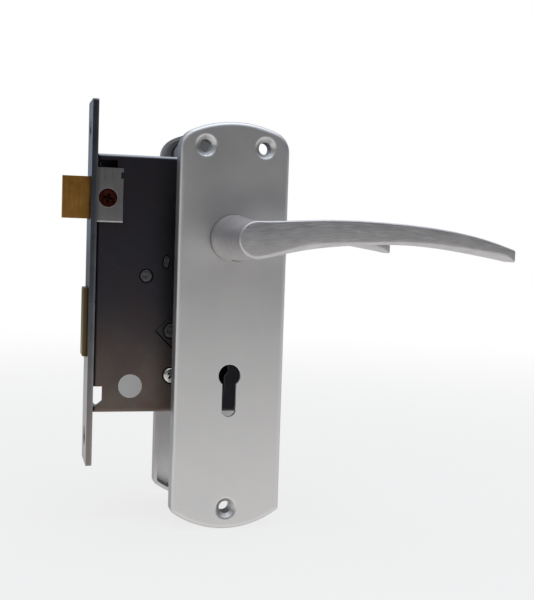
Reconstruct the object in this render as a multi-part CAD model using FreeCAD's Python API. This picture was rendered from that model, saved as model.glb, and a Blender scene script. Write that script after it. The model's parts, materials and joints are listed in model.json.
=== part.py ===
import FreeCAD, Part
import math
import os

# Lever lockset for an inside door: a three lever mortice sashlock with a lever handle on a
# long plate at each side of the door, set square as it sits in the door.
# Millimetres. X runs from the door's edge towards its hinges, Y away from the viewer, Z up.
# The origin is the spindle axis at the middle of the door.

# Set-out of the lock and the door
centres = 57.0
backset = 57.0
door_thickness = 44.0

# Clearances
running_gap = 0.3
sliding_gap = 0.25
rivet_gap = 0.05
pivot_gap = 0.15
washer_gap = 0.1

# Forend, the strip on the door's edge
forend_width = 22.0
forend_thickness = 2.5
forend_top = 56.5
forend_bottom = -98.5
forend_corner = 1.0
forend_screw_r = 2.3
forend_screw_head_r = 4.4
forend_screw_inset = 11.5
forend_rivet_r = 1.6
forend_rivet_head_r = 2.4
forend_rivet_head = 1.0
forend_rivet_upset = 0.8
forend_rivet_margin = 5.5
tab_length = 10.8
tab_bottom = 5.0
tab_height = 23.0
tab_edge_r = 0.8
tab_nick_depth = 1.0
tab_nick_height = 2.6
tab_nick_drop = 1.8
tab_screw_head_r = 3.9
tab_screw_shank_r = 2.0
tab_screw_set_back = 7.0
tab_screw_head_depth = 1.9
tab_screw_cross = 4.7
tab_screw_cross_depth = 1.4

# Lock case
case_thickness = 16.0
sheet = 1.2
case_top = 34.0
case_bottom = -76.0
case_depth = 76.0
case_fold_r = 1.6
case_chamfer = 9.0
notch_depth = 4.0
notch_top = -64.8
notch_height = 6.0
notch_slope = 2.6
rear_notch_drop = 2.4
rear_notch_extra = 2.0
recess_height = 3.4
recess_length = 8.5

# Key
keyhole_r = 4.6
keyhole_slot = 5.8
keyhole_length = 17.3
case_keyhole_less = 0.2

# Posts and screws of the case
upper_post_x = -32.75
upper_post_z = -17.2
upper_post_r = 2.65
pivot_x = -21.5
pivot_z = -40.8
pivot_r = 3.1
rear_post_inset = 6.5
rear_post_z = 27.5
post_proud = 0.2
ring_width = 0.5
ring_depth = 0.5
pad_height = 0.4
pad_reach = 6.7
pad_half_height = 9.0
pad_length = 19.0
pad_slit_width = 0.5
pad_slit_depth = 0.6
case_screw_x = -21.1
case_screw_z = -60.0
case_screw_head_r = 3.3
case_screw_head_height = 1.7
case_screw_shank_r = 1.9
case_screw_dome_r = 1.0
case_screw_cross = 4.1
case_screw_cross_depth = 1.5
pillar_r = 3.6
anchor_x = -24.3
anchor_z = -11.0
anchor_length = 5.0
anchor_width = 2.2
anchor_tilt = 8.0
sticker_x = -38.6
sticker_z = -64.7
sticker_r = 5.1
sticker_thickness = 0.1

# Latch
latch_centre = 15.4
latch_height = 17.8
latch_width = 11.0
latch_reach = 11.7
latch_head_length = 24.7
latch_nose = 2.0
latch_edge_r = 0.5
tail_thickness = 3.0
tail_height = 5.0
tongue_length = 6.5
tail_pin_r = 1.2
crosshead_thickness = 3.5
crosshead_width = 9.2
crosshead_top = 5.0
crosshead_foot = 0.8
latch_spring_wire = 1.0
latch_spring_turns = 9
guide_x = -21.0
guide_thickness = 1.5
guide_height = 15.0

# Follower, the hub that the spindle turns
follower_r = 9.0
follower_journal_r = 7.0
follower_proud = 0.3
follower_arm_r = 17.1
follower_tip_r = 2.6
follower_arm_width = 3.8
cheek_thickness = 2.4
cheek_gap = 3.8
handle_travel = 40.0
heel_reach = 13.0
heel_width = 4.0
heel_rise = 6.0
follower_spring_wire = 0.8
follower_spring_width = 2.4
follower_spring_set = 2.0
follower_spring_foot = 30.0

# Deadbolt
bolt_height = 29.5
bolt_top = -22.8
bolt_width = 10.0
bolt_reach = 2.1
bolt_throw = 14.0
bolt_head_length = 21.0
bolt_step_length = 9.8
bolt_edge_r = 0.6
bolt_tail_thickness = 3.0
bolt_tail_front = 1.8
bolt_tail_top = -30.5
bolt_tail_bottom = -46.8
bolt_tail_inset = 5.0
bolt_tail_neck = 2.0
bolt_foot_x = -4.0
bolt_foot_slope = 3.0
talon_width = 6.0
talon_depth = 3.4
talon_edge = -43.2
bolt_rivet_r = 1.5
bolt_rivet_spacing = 15.0
stump_size = 3.4
stump_inset = 3.0
stump_z = -36.0

# Detainer levers
lever_thickness = 1.6
lever_gap = 0.3
lever_lifts = (6.0, 5.5, 6.5)
lever_head_r = 6.0
lever_end_gap = 1.5
lever_top = -29.0
lever_corner = 2.0
lever_slope_x = -15.0
belly_front_x = -12.0
belly_front_rise = 1.2
belly_height = -43.0
belly_rear_inset = 6.3
belly_rear_rise = 0.2
lever_window_half_height = 4.4
lever_pocket_gap = 0.6
lever_pocket_extra = 1.4
gate_half_length = 1.9
gate_gap = 0.3
lever_spring_strip = 0.4
lever_spring_root = 2.5
lever_spring_x = -12.0
lever_spring_rise = 1.0
lever_spring_bow = 3.6
lever_spring_tip = 0.4
spacer_r = 5.5

# Handle plates
plate_width = 46.0
plate_depth = 9.0
plate_wall = 1.5
plate_top = 48.0
plate_bottom = -122.0
plate_top_arc_r = 45.0
plate_bottom_arc_r = 38.0
plate_top_corner_r = 9.0
plate_bottom_corner_r = 1.5
plate_rim_r = 2.0
plate_edge_r = 0.25
plate_hole_r = 2.6
plate_countersink_r = 4.4
plate_dimple_r = 1.4
plate_screw_spacing = 25.0
plate_screw_height = 37.7
plate_foot_screw = -113.0
screw_boss_r = 5.0
boss_shortfall = 0.5
handle_boss_r = 10.3
handle_boss_height = 2.6
boss_root = 0.1

# Handle bearing, spring and clip
shank_r = 7.5
bush_wall = 1.0
bush_flange_r = 10.2
bush_flange_thickness = 1.0
stop_washer_r = 12.4
stop_washer_thickness = 1.4
stop_ear_reach = 16.4
stop_ear_width = 4.0
stop_lug_r = 1.5
stop_lug_ring_r = 14.8
stop_lug_reach = 0.5
shank_flat = 6.6
clip_width = 1.0
clip_outer_r = 9.2
clip_opening = 70.0
shank_end_land = 0.8
return_spring_wire = 1.0
return_spring_turns = 1.5
return_spring_leg = 4.0

# Spindle and handles
spindle_size = 8.0
spindle_length = 100.0
socket_margin = 2.0
neck_base_r = 9.8
neck_base_length = 3.5
neck_top_r = 7.1
handle_reach = 44.0
handle_end_r = 7.2
handle_length = 105.2
handle_crown = 8.8
handle_middle_drop = 0.4
handle_outer_drop = 3.3
handle_tip_top = -1.3
handle_tip_bottom = -5.3
handle_under_rise = 1.7
handle_under_crown = -0.1
handle_heel_drop = -3.2
handle_thickness = 11.5
handle_tip_thickness = 9.5
handle_front_edge_r = 1.0
handle_back_edge_r = 1.8
grub_screw_r = 2.5
grub_screw_key = 2.5
grub_screw_set_out = 8.0
grub_screw_length = 4.2

# Values that follow from the ones above
half_door = door_thickness / 2
plate_face = half_door + plate_depth
half_case = case_thickness / 2
inside_half = half_case - sheet
forend_face = -backset
case_front = forend_face + forend_thickness
case_rear = forend_face + case_depth
rear_post_x = case_rear - rear_post_inset
half_forend = forend_width / 2
key_z = -centres
half_travel = math.radians(handle_travel / 2)
arm_swing = follower_arm_r * math.sin(half_travel)
latch_travel = 2 * arm_swing
crosshead_front = follower_tip_r + sliding_gap - arm_swing
latch_rear = forend_face - latch_reach + latch_head_length
bolt_centre = bolt_top - bolt_height / 2
bolt_front = forend_face - bolt_reach
bolt_head_end = bolt_front + bolt_head_length
bolt_step_end = bolt_head_end + bolt_step_length
bolt_tail_rear = bolt_tail_front + bolt_tail_thickness
bolt_tail_end = case_rear - bolt_tail_inset
stump_x = bolt_tail_end - stump_inset
lever_end = case_rear - sheet - lever_end_gap
boss_end = plate_face - plate_wall - handle_boss_height
flange_end = boss_end - bush_flange_thickness
washer_front = flange_end - washer_gap
washer_rear = washer_front - stop_washer_thickness
clip_front = washer_rear - washer_gap
clip_rear = clip_front - clip_width
shank_end = clip_rear - shank_end_land
handle_front = plate_face + handle_reach
shoulder = plate_face + sliding_gap
spindle_end = spindle_length / 2


def at(x, y, z):
    return FreeCAD.Vector(x, y, z)


def block(x0, x1, y0, y1, z0, z1):
    return Part.makeBox(x1 - x0, y1 - y0, z1 - z0, at(x0, y0, z0))


def rod(x, z, r, y0, y1):
    """A round bar along Y."""
    return Part.makeCylinder(r, y1 - y0, at(x, y0, z), at(0, 1, 0))


def cone(x, z, r0, r1, y0, y1):
    """A cone along Y, with radius r0 at y0 and r1 at y1."""
    return Part.makeCone(r0, r1, abs(y1 - y0), at(x, y0, z), at(0, math.copysign(1, y1 - y0), 0))


def rod_x(y, z, r, x0, x1):
    """A round bar along X."""
    return Part.makeCylinder(r, x1 - x0, at(x0, y, z), at(1, 0, 0))


def slab(edges, y0, y1):
    """The closed outline of these edges, drawn at y0, made solid up to y1."""
    face = Part.Face(Part.Wire([edge.toShape() for edge in edges]))
    return face.extrude(at(0, y1 - y0, 0))


def polygon(points, y0, y1):
    """A flat piece with straight edges through these (x, z) points."""
    loop = points + points[:1]
    wire = Part.makePolygon([at(x, y0, z) for x, z in loop])
    return Part.Face(wire).extrude(at(0, y1 - y0, 0))


def fuse(shapes):
    whole = shapes[0]
    for shape in shapes[1:]:
        whole = whole.fuse(shape)
    return whole.removeSplitter()


def cut(shape, tools):
    for tool in tools:
        shape = shape.cut(tool)
    return shape


def mirrored(shape):
    """The same piece on the other side of the door."""
    return shape.mirror(at(0, 0, 0), at(0, 1, 0))


def turned(shape, degrees, x=0.0, z=0.0):
    """Turned about an axis along Y; a positive turn takes the top towards +X."""
    copy = shape.copy()
    copy.rotate(at(x, 0, z), at(0, 1, 0), degrees)
    return copy


def edges_at(shape, y):
    """The edges that lie wholly in the plane at this Y."""
    found = []
    for edge in shape.Edges:
        box = edge.BoundBox
        if abs(box.YMin - y) < 1e-4 and abs(box.YMax - y) < 1e-4:
            found.append(edge)
    return found


def rims_near(shape, y, x, z, reach):
    """The edges in the plane at this Y whose middle is within reach of this (x, z)."""
    found = []
    for edge in edges_at(shape, y):
        middle = edge.BoundBox.Center
        if math.hypot(middle.x - x, middle.z - z) < reach:
            found.append(edge)
    return found


def edges_along_y(shape, x, z, reach):
    """The straight edges along Y within reach of this (x, z)."""
    found = []
    for edge in shape.Edges:
        box = edge.BoundBox
        if box.XLength < 1e-4 and box.ZLength < 1e-4:
            if math.hypot(box.XMin - x, box.ZMin - z) < reach:
                found.append(edge)
    return found


def keyhole(head_r, slot, length, y0, y1):
    """The through cut for the key, its round head on the key axis and its slot below."""
    foot = key_z - length + slot / 2
    shaft = block(-slot / 2, slot / 2, y0, y1, foot, key_z)
    return fuse([rod(0, key_z, head_r, y0, y1), shaft, rod(0, foot, slot / 2, y0, y1)])


def arc_band(start, middle, end, thickness, y0, y1):
    """A flat strip bent to the arc through three (x, z) points."""
    circle = Part.Circle(at(start[0], y0, start[1]), at(middle[0], y0, middle[1]), at(end[0], y0, end[1]))
    centre, radius = circle.Center, circle.Radius
    rings = []
    for r in (radius - thickness / 2, radius + thickness / 2):
        points = [at(x, y0, z) for x, z in (start, middle, end)]
        rings.append([centre + (p - centre) * (r / radius) for p in points])
    inner, outer = rings
    outline = [
        Part.Arc(*inner),
        Part.LineSegment(inner[2], outer[2]),
        Part.Arc(*reversed(outer)),
        Part.LineSegment(outer[0], inner[0]),
    ]
    return slab(outline, y0, y1)


def straight_band(start, end, thickness, y0, y1):
    """A flat strip between two (x, z) points."""
    dx, dz = end[0] - start[0], end[1] - start[1]
    length = math.hypot(dx, dz)
    nx, nz = -dz / length * thickness / 2, dx / length * thickness / 2
    corners = [
        (start[0] + nx, start[1] + nz),
        (end[0] + nx, end[1] + nz),
        (end[0] - nx, end[1] - nz),
        (start[0] - nx, start[1] - nz),
    ]
    return polygon(corners, y0, y1)


def coil(mean_r, length, turns, wire_r, leg=0.0):
    """A coil spring along Z from the origin, on two arcs for each quarter turn, with straight ends."""
    quarter = math.pi / 2
    count = round(turns * 4)
    rise = length / count
    slope = math.hypot(mean_r * quarter, rise)
    points, tangents = [], []
    for i in range(count + 1):
        a = i * quarter
        points.append(at(mean_r * math.cos(a), mean_r * math.sin(a), i * rise))
        around = mean_r * quarter / slope
        tangents.append(at(-math.sin(a) * around, math.cos(a) * around, rise / slope))
    edges = []
    for p0, t0, p1, t1 in zip(points, tangents, points[1:], tangents[1:]):
        edges.extend(two_arcs(p0, t0, p1, t1))
    start = points[0] - tangents[0] * leg
    if leg:
        edges.insert(0, Part.LineSegment(start, points[0]).toShape())
        edges.append(Part.LineSegment(points[-1], points[-1] + tangents[-1] * leg).toShape())
    print(f"least gap between turns {least_gap(edges, turns, wire_r):.2f} mm")
    profile = Part.Wire(Part.makeCircle(wire_r, start, tangents[0]))
    return Part.Wire(edges).makePipeShell([profile], True, False)


def least_gap(edges, turns, wire_r):
    """The clear distance between points of the wire that lie more than half a turn apart."""
    spots = [point for edge in edges for point in edge.discretize(9)[:-1]]
    apart = round(len(spots) / turns / 2)
    gap = math.inf
    for i, spot in enumerate(spots):
        for other in spots[i + apart:]:
            gap = min(gap, (other - spot).Length - 2 * wire_r)
    return gap


def two_arcs(p0, t0, p1, t1):
    """Two arcs that leave p0 along t0 and reach p1 along t1."""
    chord = p1 - p0
    both = t0 + t1
    turn = 2 * (1 - t0.dot(t1))
    lean = chord.dot(both)
    arm = (math.sqrt(lean * lean + turn * chord.dot(chord)) - lean) / turn
    corner0 = p0 + t0 * arm
    corner1 = p1 - t1 * arm
    joint = (corner0 + corner1) * 0.5
    arcs = []
    for a, corner, b in ((p0, corner0, joint), (joint, corner1, p1)):
        middle = (a + b) * 0.5
        lift = corner - middle
        half = (b - a).Length / 2
        bend = math.atan2(lift.Length, half)
        arcs.append(Part.Arc(a, middle + lift * (math.tan(bend / 2) / math.tan(bend)), b).toShape())
    return arcs


def cross_recess(size, depth, y):
    """A cross-shaped driver recess, cut from y inwards, at x and z of zero."""
    arm = size / 4
    long_way = block(-size / 2, size / 2, y, y + depth, -arm / 2, arm / 2)
    tall_way = block(-arm / 2, arm / 2, y, y + depth, -size / 2, size / 2)
    return fuse([long_way, tall_way]).fuse(cone(0, 0, size / 4, size / 10, y, y + depth))


# Forend

def make_forend():
    strip = block(forend_face, case_front, -half_forend, half_forend, forend_bottom, forend_top)
    corners = [e for e in strip.Edges if e.BoundBox.YLength < 1e-4 and e.BoundBox.ZLength < 1e-4]
    strip = strip.makeFillet(forend_corner, corners)
    tab = block(
        case_front - forend_corner,
        case_front + tab_length,
        -half_forend,
        -half_case,
        tab_bottom,
        tab_bottom + tab_height,
    )
    foot = [e for e in edges_at(tab, -half_forend) if e.BoundBox.ZMax < tab_bottom + tab_edge_r]
    tab = tab.makeFillet(tab_edge_r, foot)
    tab_end = case_front + tab_length
    nick_top = tab_bottom + tab_height - tab_nick_drop
    nick = block(
        tab_end - tab_nick_depth, tab_end, -half_forend, -half_case, nick_top - tab_nick_height, nick_top
    )
    screw_x, screw_z = tab_screw_place()
    holes = [
        nick,
        rod(screw_x, screw_z, tab_screw_shank_r + rivet_gap, -half_forend, -half_case),
        cone(
            screw_x,
            screw_z,
            tab_screw_head_r + rivet_gap,
            tab_screw_shank_r + rivet_gap,
            -half_forend,
            -half_forend + tab_screw_head_depth,
        ),
    ]
    for width, height, z in (
        (latch_width, latch_height, latch_centre),
        (bolt_width, bolt_height, bolt_centre),
    ):
        y, dz = width / 2 + running_gap, height / 2 + running_gap
        holes.append(block(forend_face, case_front, -y, y, z - dz, z + dz))
    for z in (forend_top - forend_screw_inset, forend_bottom + forend_screw_inset):
        holes.append(rod_x(0, z, forend_screw_r, forend_face, case_front))
        sink = forend_screw_head_r - forend_screw_r
        head = Part.makeCone(
            forend_screw_head_r, forend_screw_r, sink, at(forend_face, 0, z), at(1, 0, 0)
        )
        holes.append(head)
    for z in forend_rivet_heights():
        holes.append(rod_x(0, z, forend_rivet_r + rivet_gap, forend_face, case_front))
        sink_end = forend_face + forend_rivet_head
        holes.append(rod_x(0, z, forend_rivet_head_r + rivet_gap, forend_face, sink_end))
    return cut(fuse([strip, tab]), holes)


def tab_screw_place():
    return forend_face + tab_screw_set_back, latch_centre


def forend_rivet_heights():
    """One rivet above the latch and one below the deadbolt."""
    above = latch_centre + latch_height / 2 + forend_rivet_margin
    below = bolt_top - bolt_height - forend_rivet_margin
    return above, below


def make_forend_rivets():
    rivets = []
    for z in forend_rivet_heights():
        inside = case_front + sheet
        shaft = rod_x(0, z, forend_rivet_r, forend_face, inside)
        head = rod_x(0, z, forend_rivet_head_r, forend_face, forend_face + forend_rivet_head)
        upset = rod_x(0, z, forend_rivet_head_r, inside, inside + forend_rivet_upset)
        rivets.append(fuse([shaft, head, upset]))
    return Part.makeCompound(rivets)


def make_tab_screw():
    x, z = tab_screw_place()
    head = cone(x, z, tab_screw_head_r, tab_screw_shank_r, -half_forend, tab_screw_head_depth - half_forend)
    shank = rod(x, z, tab_screw_shank_r, -half_forend, -inside_half)
    recess = cross_recess(tab_screw_cross, tab_screw_cross_depth, -half_forend)
    recess.translate(at(x, 0, z))
    return cut(fuse([head, shank]), [recess])


# Lock case

def case_blank(inset, y0, y1):
    """The outline of the case, drawn in by inset, with its lower rear corner cut off."""
    left, right = case_front + inset, case_rear - inset
    low, high = case_bottom + inset, case_top - inset
    bevel = case_chamfer + inset * (math.sqrt(2) - 2)
    points = [(left, low), (right - bevel, low), (right, low + bevel), (right, high), (left, high)]
    return polygon(points, y0, y1)


def notch_outline(extra, drop):
    """The (x, z) corners of the cut at the case's lower front corner."""
    right = case_front + notch_depth + extra
    low = notch_top - notch_height - drop
    return [
        (case_front, notch_top),
        (right, notch_top),
        (right, low),
        (case_front + extra + notch_depth / 4, low - notch_slope),
        (case_front, low - notch_slope),
    ]


def post_list():
    """Each post's place and radius: the spring post, the lever pivot and the rear rivet."""
    return (
        (upper_post_x, upper_post_z, upper_post_r),
        (pivot_x, pivot_z, pivot_r),
        (rear_post_x, rear_post_z, upper_post_r),
    )


def anchor_shape(grow, y0, y1):
    """The upright bar that the springs bear on, round at both ends."""
    half = (anchor_length - anchor_width) / 2
    r = anchor_width / 2 + grow
    shape = fuse([
        block(-r, r, y0, y1, -half, half),
        rod(0, half, r, y0, y1),
        rod(0, -half, r, y0, y1),
    ])
    shape = turned(shape, anchor_tilt)
    shape.translate(at(anchor_x, 0, anchor_z))
    return shape


def make_case_body():
    tray = case_blank(0, -half_case, inside_half)
    tray = tray.makeFillet(case_fold_r, edges_at(tray, -half_case))
    tray = tray.cut(case_blank(sheet, -inside_half, inside_half))
    left = pivot_x - pad_reach
    pad = polygon(
        [
            (left, pivot_z),
            (left + pad_half_height, pivot_z - pad_half_height),
            (left + pad_length, pivot_z - pad_half_height),
            (left + pad_length, pivot_z + pad_half_height),
            (left + pad_half_height, pivot_z + pad_half_height),
        ],
        -half_case - pad_height,
        -half_case,
    )
    tray = fuse([tray, pad])
    outer = -half_case - pad_height
    slit_end = (left + pad_half_height, pivot_z - pad_half_height)
    tools = [
        straight_band((left, pivot_z), slit_end, pad_slit_width, outer, pad_slit_depth - half_case),
        rod(0, 0, follower_journal_r + pivot_gap, outer, -inside_half),
        keyhole(
            keyhole_r - case_keyhole_less,
            keyhole_slot - 2 * case_keyhole_less,
            keyhole_length - case_keyhole_less,
            outer,
            -inside_half,
        ),
        polygon(notch_outline(0, 0), -half_case, inside_half),
        block(
            case_front + sheet,
            case_front + recess_length,
            -half_case,
            -inside_half,
            tab_bottom + tab_height + rivet_gap,
            tab_bottom + tab_height + recess_height,
        ),
        anchor_shape(rivet_gap, -half_case, -inside_half),
        anchor_shape(ring_width, -half_case, -half_case + ring_depth),
    ]
    for x, z, r in post_list():
        face = outer if r == pivot_r else -half_case
        tools.append(rod(x, z, r + rivet_gap, outer, -inside_half))
        tools.append(rod(x, z, r + ring_width, face, face + ring_depth))
    for width, height, z in (
        (latch_width, latch_height, latch_centre),
        (bolt_width, bolt_height, bolt_centre),
    ):
        y, dz = width / 2 + running_gap, height / 2 + running_gap
        tools.append(block(case_front, case_front + sheet, -y, y, z - dz, z + dz))
    for z in forend_rivet_heights():
        tools.append(rod_x(0, z, forend_rivet_r + rivet_gap, case_front, case_front + sheet))
    x, z = tab_screw_place()
    tools.append(rod(x, z, tab_screw_shank_r + rivet_gap, -half_case, -inside_half))
    tools.append(rod(case_screw_x, case_screw_z, case_screw_shank_r + rivet_gap, -half_case, -inside_half))
    tools.append(
        rod(case_screw_x, case_screw_z, case_screw_head_r + ring_width, -half_case, ring_depth - half_case)
    )
    return cut(tray, tools)


def make_case_cover():
    cover = case_blank(0, inside_half, half_case)
    tools = [
        rod(0, 0, follower_journal_r + pivot_gap, inside_half, half_case),
        keyhole(
            keyhole_r - case_keyhole_less,
            keyhole_slot - 2 * case_keyhole_less,
            keyhole_length - case_keyhole_less,
            inside_half,
            half_case,
        ),
        polygon(notch_outline(rear_notch_extra, rear_notch_drop), inside_half, half_case),
    ]
    for x, z, r in post_list():
        tools.append(rod(x, z, r + rivet_gap, inside_half, half_case))
    return cut(cover, tools)


def make_post(x, z, r, front):
    return rod(x, z, r, front - post_proud, half_case)


def make_case_pillar():
    x, z = case_screw_x, case_screw_z
    bore = rod(x, z, case_screw_shank_r + rivet_gap, -inside_half, inside_half)
    return rod(x, z, pillar_r, -inside_half, inside_half).cut(bore)


def make_case_screw():
    seat = ring_depth - half_case
    top = seat - case_screw_head_height
    head = rod(case_screw_x, case_screw_z, case_screw_head_r, top, seat)
    head = head.makeFillet(case_screw_dome_r, edges_at(head, top)[:1])
    shank = rod(case_screw_x, case_screw_z, case_screw_shank_r, seat, inside_half - sheet)
    recess = cross_recess(case_screw_cross, case_screw_cross_depth, top)
    recess.translate(at(case_screw_x, 0, case_screw_z))
    return cut(fuse([head, shank]), [recess])


def make_sticker():
    return rod(sticker_x, sticker_z, sticker_r, -half_case - sticker_thickness, -half_case)


# Latch

def make_latch_head():
    tip = forend_face - latch_reach
    half = latch_width / 2
    low = latch_centre - latch_height / 2
    bevel_end = forend_face - running_gap
    outline = [
        (tip, -half),
        (latch_rear, -half),
        (latch_rear, half),
        (bevel_end, half),
        (tip, latch_nose - half),
    ]
    loop = [at(x, y, low) for x, y in outline + outline[:1]]
    head = Part.Face(Part.makePolygon(loop)).extrude(at(0, 0, latch_height))
    nose = [e for e in head.Edges if e.BoundBox.XMax < tip + 1e-4 and e.BoundBox.YLength < 1e-4]
    head = head.makeFillet(latch_edge_r, nose)
    slot = block(
        latch_rear - tongue_length,
        latch_rear,
        -tail_thickness / 2 - rivet_gap,
        tail_thickness / 2 + rivet_gap,
        latch_centre - tail_height / 2 - rivet_gap,
        latch_centre + tail_height / 2 + rivet_gap,
    )
    pin = rod(latch_rear - tongue_length / 2, latch_centre, tail_pin_r + rivet_gap, -half, half)
    return cut(head, [slot, pin])


def make_latch_tail():
    half = tail_thickness / 2
    low, high = latch_centre - tail_height / 2, latch_centre + tail_height / 2
    end = crosshead_front + crosshead_thickness
    bar = block(latch_rear - tongue_length + rivet_gap, end, -half, half, low, high)
    cross = block(
        crosshead_front,
        end,
        -crosshead_width / 2,
        crosshead_width / 2,
        latch_centre - crosshead_foot,
        latch_centre + crosshead_top,
    )
    pin = rod(latch_rear - tongue_length / 2, latch_centre, tail_pin_r + rivet_gap, -half, half)
    return fuse([bar, cross]).cut(pin)


def make_latch_pin():
    reach = latch_width / 2 - rivet_gap
    return rod(latch_rear - tongue_length / 2, latch_centre, tail_pin_r, -reach, reach)


def make_latch_guide():
    """The bridge that the latch's tail slides through and its spring pushes against."""
    low = latch_centre - guide_height / 2
    bridge = block(guide_x, guide_x + guide_thickness, -inside_half, inside_half, low, low + guide_height)
    half_y = tail_thickness / 2 + sliding_gap
    half_z = tail_height / 2 + sliding_gap
    window = block(
        guide_x,
        guide_x + guide_thickness,
        -half_y,
        half_y,
        latch_centre - half_z,
        latch_centre + half_z,
    )
    return bridge.cut(window)


def make_latch_spring():
    bore = math.hypot(tail_thickness, tail_height) / 2 + running_gap
    length = guide_x - latch_rear - latch_spring_wire - 2 * rivet_gap
    spring = coil(bore + latch_spring_wire / 2, length, latch_spring_turns, latch_spring_wire / 2)
    spring.rotate(at(0, 0, 0), at(0, 1, 0), 90)
    spring.translate(at(latch_rear + latch_spring_wire / 2 + rivet_gap, 0, latch_centre))
    return spring


# Follower

def make_follower():
    """The hub at rest: its arm leans towards the forend and its heel lies beside it."""
    reach = inside_half - pivot_gap
    barrel = rod(0, 0, follower_r, -reach, reach)
    journal = rod(0, 0, follower_journal_r, -half_case - follower_proud, half_case + follower_proud)
    pieces = [barrel, journal]
    for side in (-1, 1):
        y0 = min(side * cheek_gap / 2, side * (cheek_gap / 2 + cheek_thickness))
        y1 = y0 + cheek_thickness
        half = follower_arm_width / 2
        bar = block(-half, half, y0, y1, 0, follower_arm_r)
        tip = rod(0, follower_arm_r, follower_tip_r, y0, y1)
        pieces.append(turned(fuse([bar, tip]), -handle_travel / 2))
    heel = block(-heel_reach, 0, -follower_spring_width, follower_spring_width, -heel_width, 0)
    pieces.append(turned(heel, heel_rise))
    hole = spindle_size / 2 + rivet_gap * 2
    square = block(-hole, hole, -half_case - follower_proud, half_case + follower_proud, -hole, hole)
    return fuse(pieces).cut(square)


def on_ring(x, z, r, degrees):
    """The (x, z) point at this angle round a ring, from +X towards +Z."""
    a = math.radians(degrees)
    return x + r * math.cos(a), z + r * math.sin(a)


def make_follower_spring():
    """A hairpin strip round the upper post, pressing the follower's heel down."""
    y0, y1 = -follower_spring_width / 2, follower_spring_width / 2
    t = follower_spring_wire
    x, z = upper_post_x, upper_post_z
    r = upper_post_r + running_gap + t / 2
    rise = math.radians(heel_rise)
    corner = (-heel_reach * math.cos(rise), heel_reach * math.sin(rise))
    lift = t / 2 + rivet_gap
    run = math.hypot(corner[0] - x, corner[1] - z)
    toward = math.degrees(math.atan2(corner[1] - z, corner[0] - x))
    leave = toward + math.degrees(math.acos((r - lift) / run))
    over = on_ring(corner[0], corner[1], lift, leave)
    tip = on_ring(over[0], over[1], follower_spring_set, leave - 90)
    foot = 360 - follower_spring_foot
    middle = (leave + foot) / 2
    a, m, b = (on_ring(x, z, r, degrees) for degrees in (leave, middle, foot))
    slope = math.radians(90 - follower_spring_foot)
    reach = anchor_x - anchor_width / 2 - t - b[0]
    end = (b[0] + reach, b[1] + reach * math.tan(slope))
    return fuse([
        straight_band(tip, a, t, y0, y1),
        arc_band(a, m, b, t, y0, y1),
        straight_band(b, end, t, y0, y1),
    ])


# Deadbolt

def make_bolt_head():
    half = bolt_width / 2
    low = bolt_top - bolt_height
    head = block(bolt_front, bolt_head_end, -half, half, low, bolt_top)
    rim = [e for e in head.Edges if e.BoundBox.XMax < bolt_front + 1e-4]
    head = head.makeFillet(bolt_edge_r, rim)
    step = block(bolt_head_end, bolt_step_end, -half, bolt_tail_front - rivet_gap, low, bolt_top)
    return cut(fuse([head, step]), bolt_rivets(rivet_gap))


def bolt_rivets(grow):
    """The two rivets between the bolt's head and its tail."""
    x = (bolt_head_end + bolt_step_end) / 2
    shapes = []
    for side in (-0.5, 0.5):
        z = bolt_centre + side * bolt_rivet_spacing
        shapes.append(rod(x, z, bolt_rivet_r + grow, -bolt_width / 2, bolt_tail_rear))
    return shapes


def make_bolt_tail():
    y0, y1 = bolt_tail_front, bolt_tail_rear
    start = bolt_head_end + rivet_gap
    low = bolt_top - bolt_height
    wide = polygon(
        [
            (start, low),
            (bolt_step_end - bolt_tail_neck, low),
            (bolt_step_end, bolt_tail_bottom),
            (bolt_foot_x, bolt_tail_bottom),
            (bolt_foot_x + bolt_foot_slope, talon_edge),
            (bolt_tail_end, talon_edge),
            (bolt_tail_end, bolt_tail_top),
            (bolt_step_end, bolt_tail_top),
            (bolt_step_end - bolt_tail_neck, bolt_top),
            (start, bolt_top),
        ],
        y0,
        y1,
    )
    slot_r = pivot_r + sliding_gap
    slot = fuse([
        block(pivot_x, pivot_x + bolt_throw, y0, y1, pivot_z - slot_r, pivot_z + slot_r),
        rod(pivot_x, pivot_z, slot_r, y0, y1),
        rod(pivot_x + bolt_throw, pivot_z, slot_r, y0, y1),
    ])
    talon_x = bolt_throw / 2
    talon = block(
        talon_x - talon_width / 2, talon_x + talon_width / 2, y0, y1, talon_edge, talon_edge + talon_depth
    )
    half = stump_size / 2
    front = lever_stack_front() - sliding_gap
    stump = block(stump_x - half, stump_x + half, front, y0, stump_z - half, stump_z + half)
    return cut(fuse([wide, stump]), [slot, talon] + bolt_rivets(rivet_gap))


# Detainer levers

def lever_faces(index):
    """The near and far face of one lever; lever 0 lies on the bolt's tail."""
    rear = bolt_tail_front - lever_gap - index * (lever_thickness + lever_gap)
    return rear - lever_thickness, rear


def lever_stack_front():
    return lever_faces(len(lever_lifts) - 1)[0]


def stump_drop(travel, lift):
    """How far the stump lies below its rest height in the lever, after this much bolt travel."""
    arm = stump_x - travel - pivot_x
    return arm * math.radians(lift) * travel / bolt_throw


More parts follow.
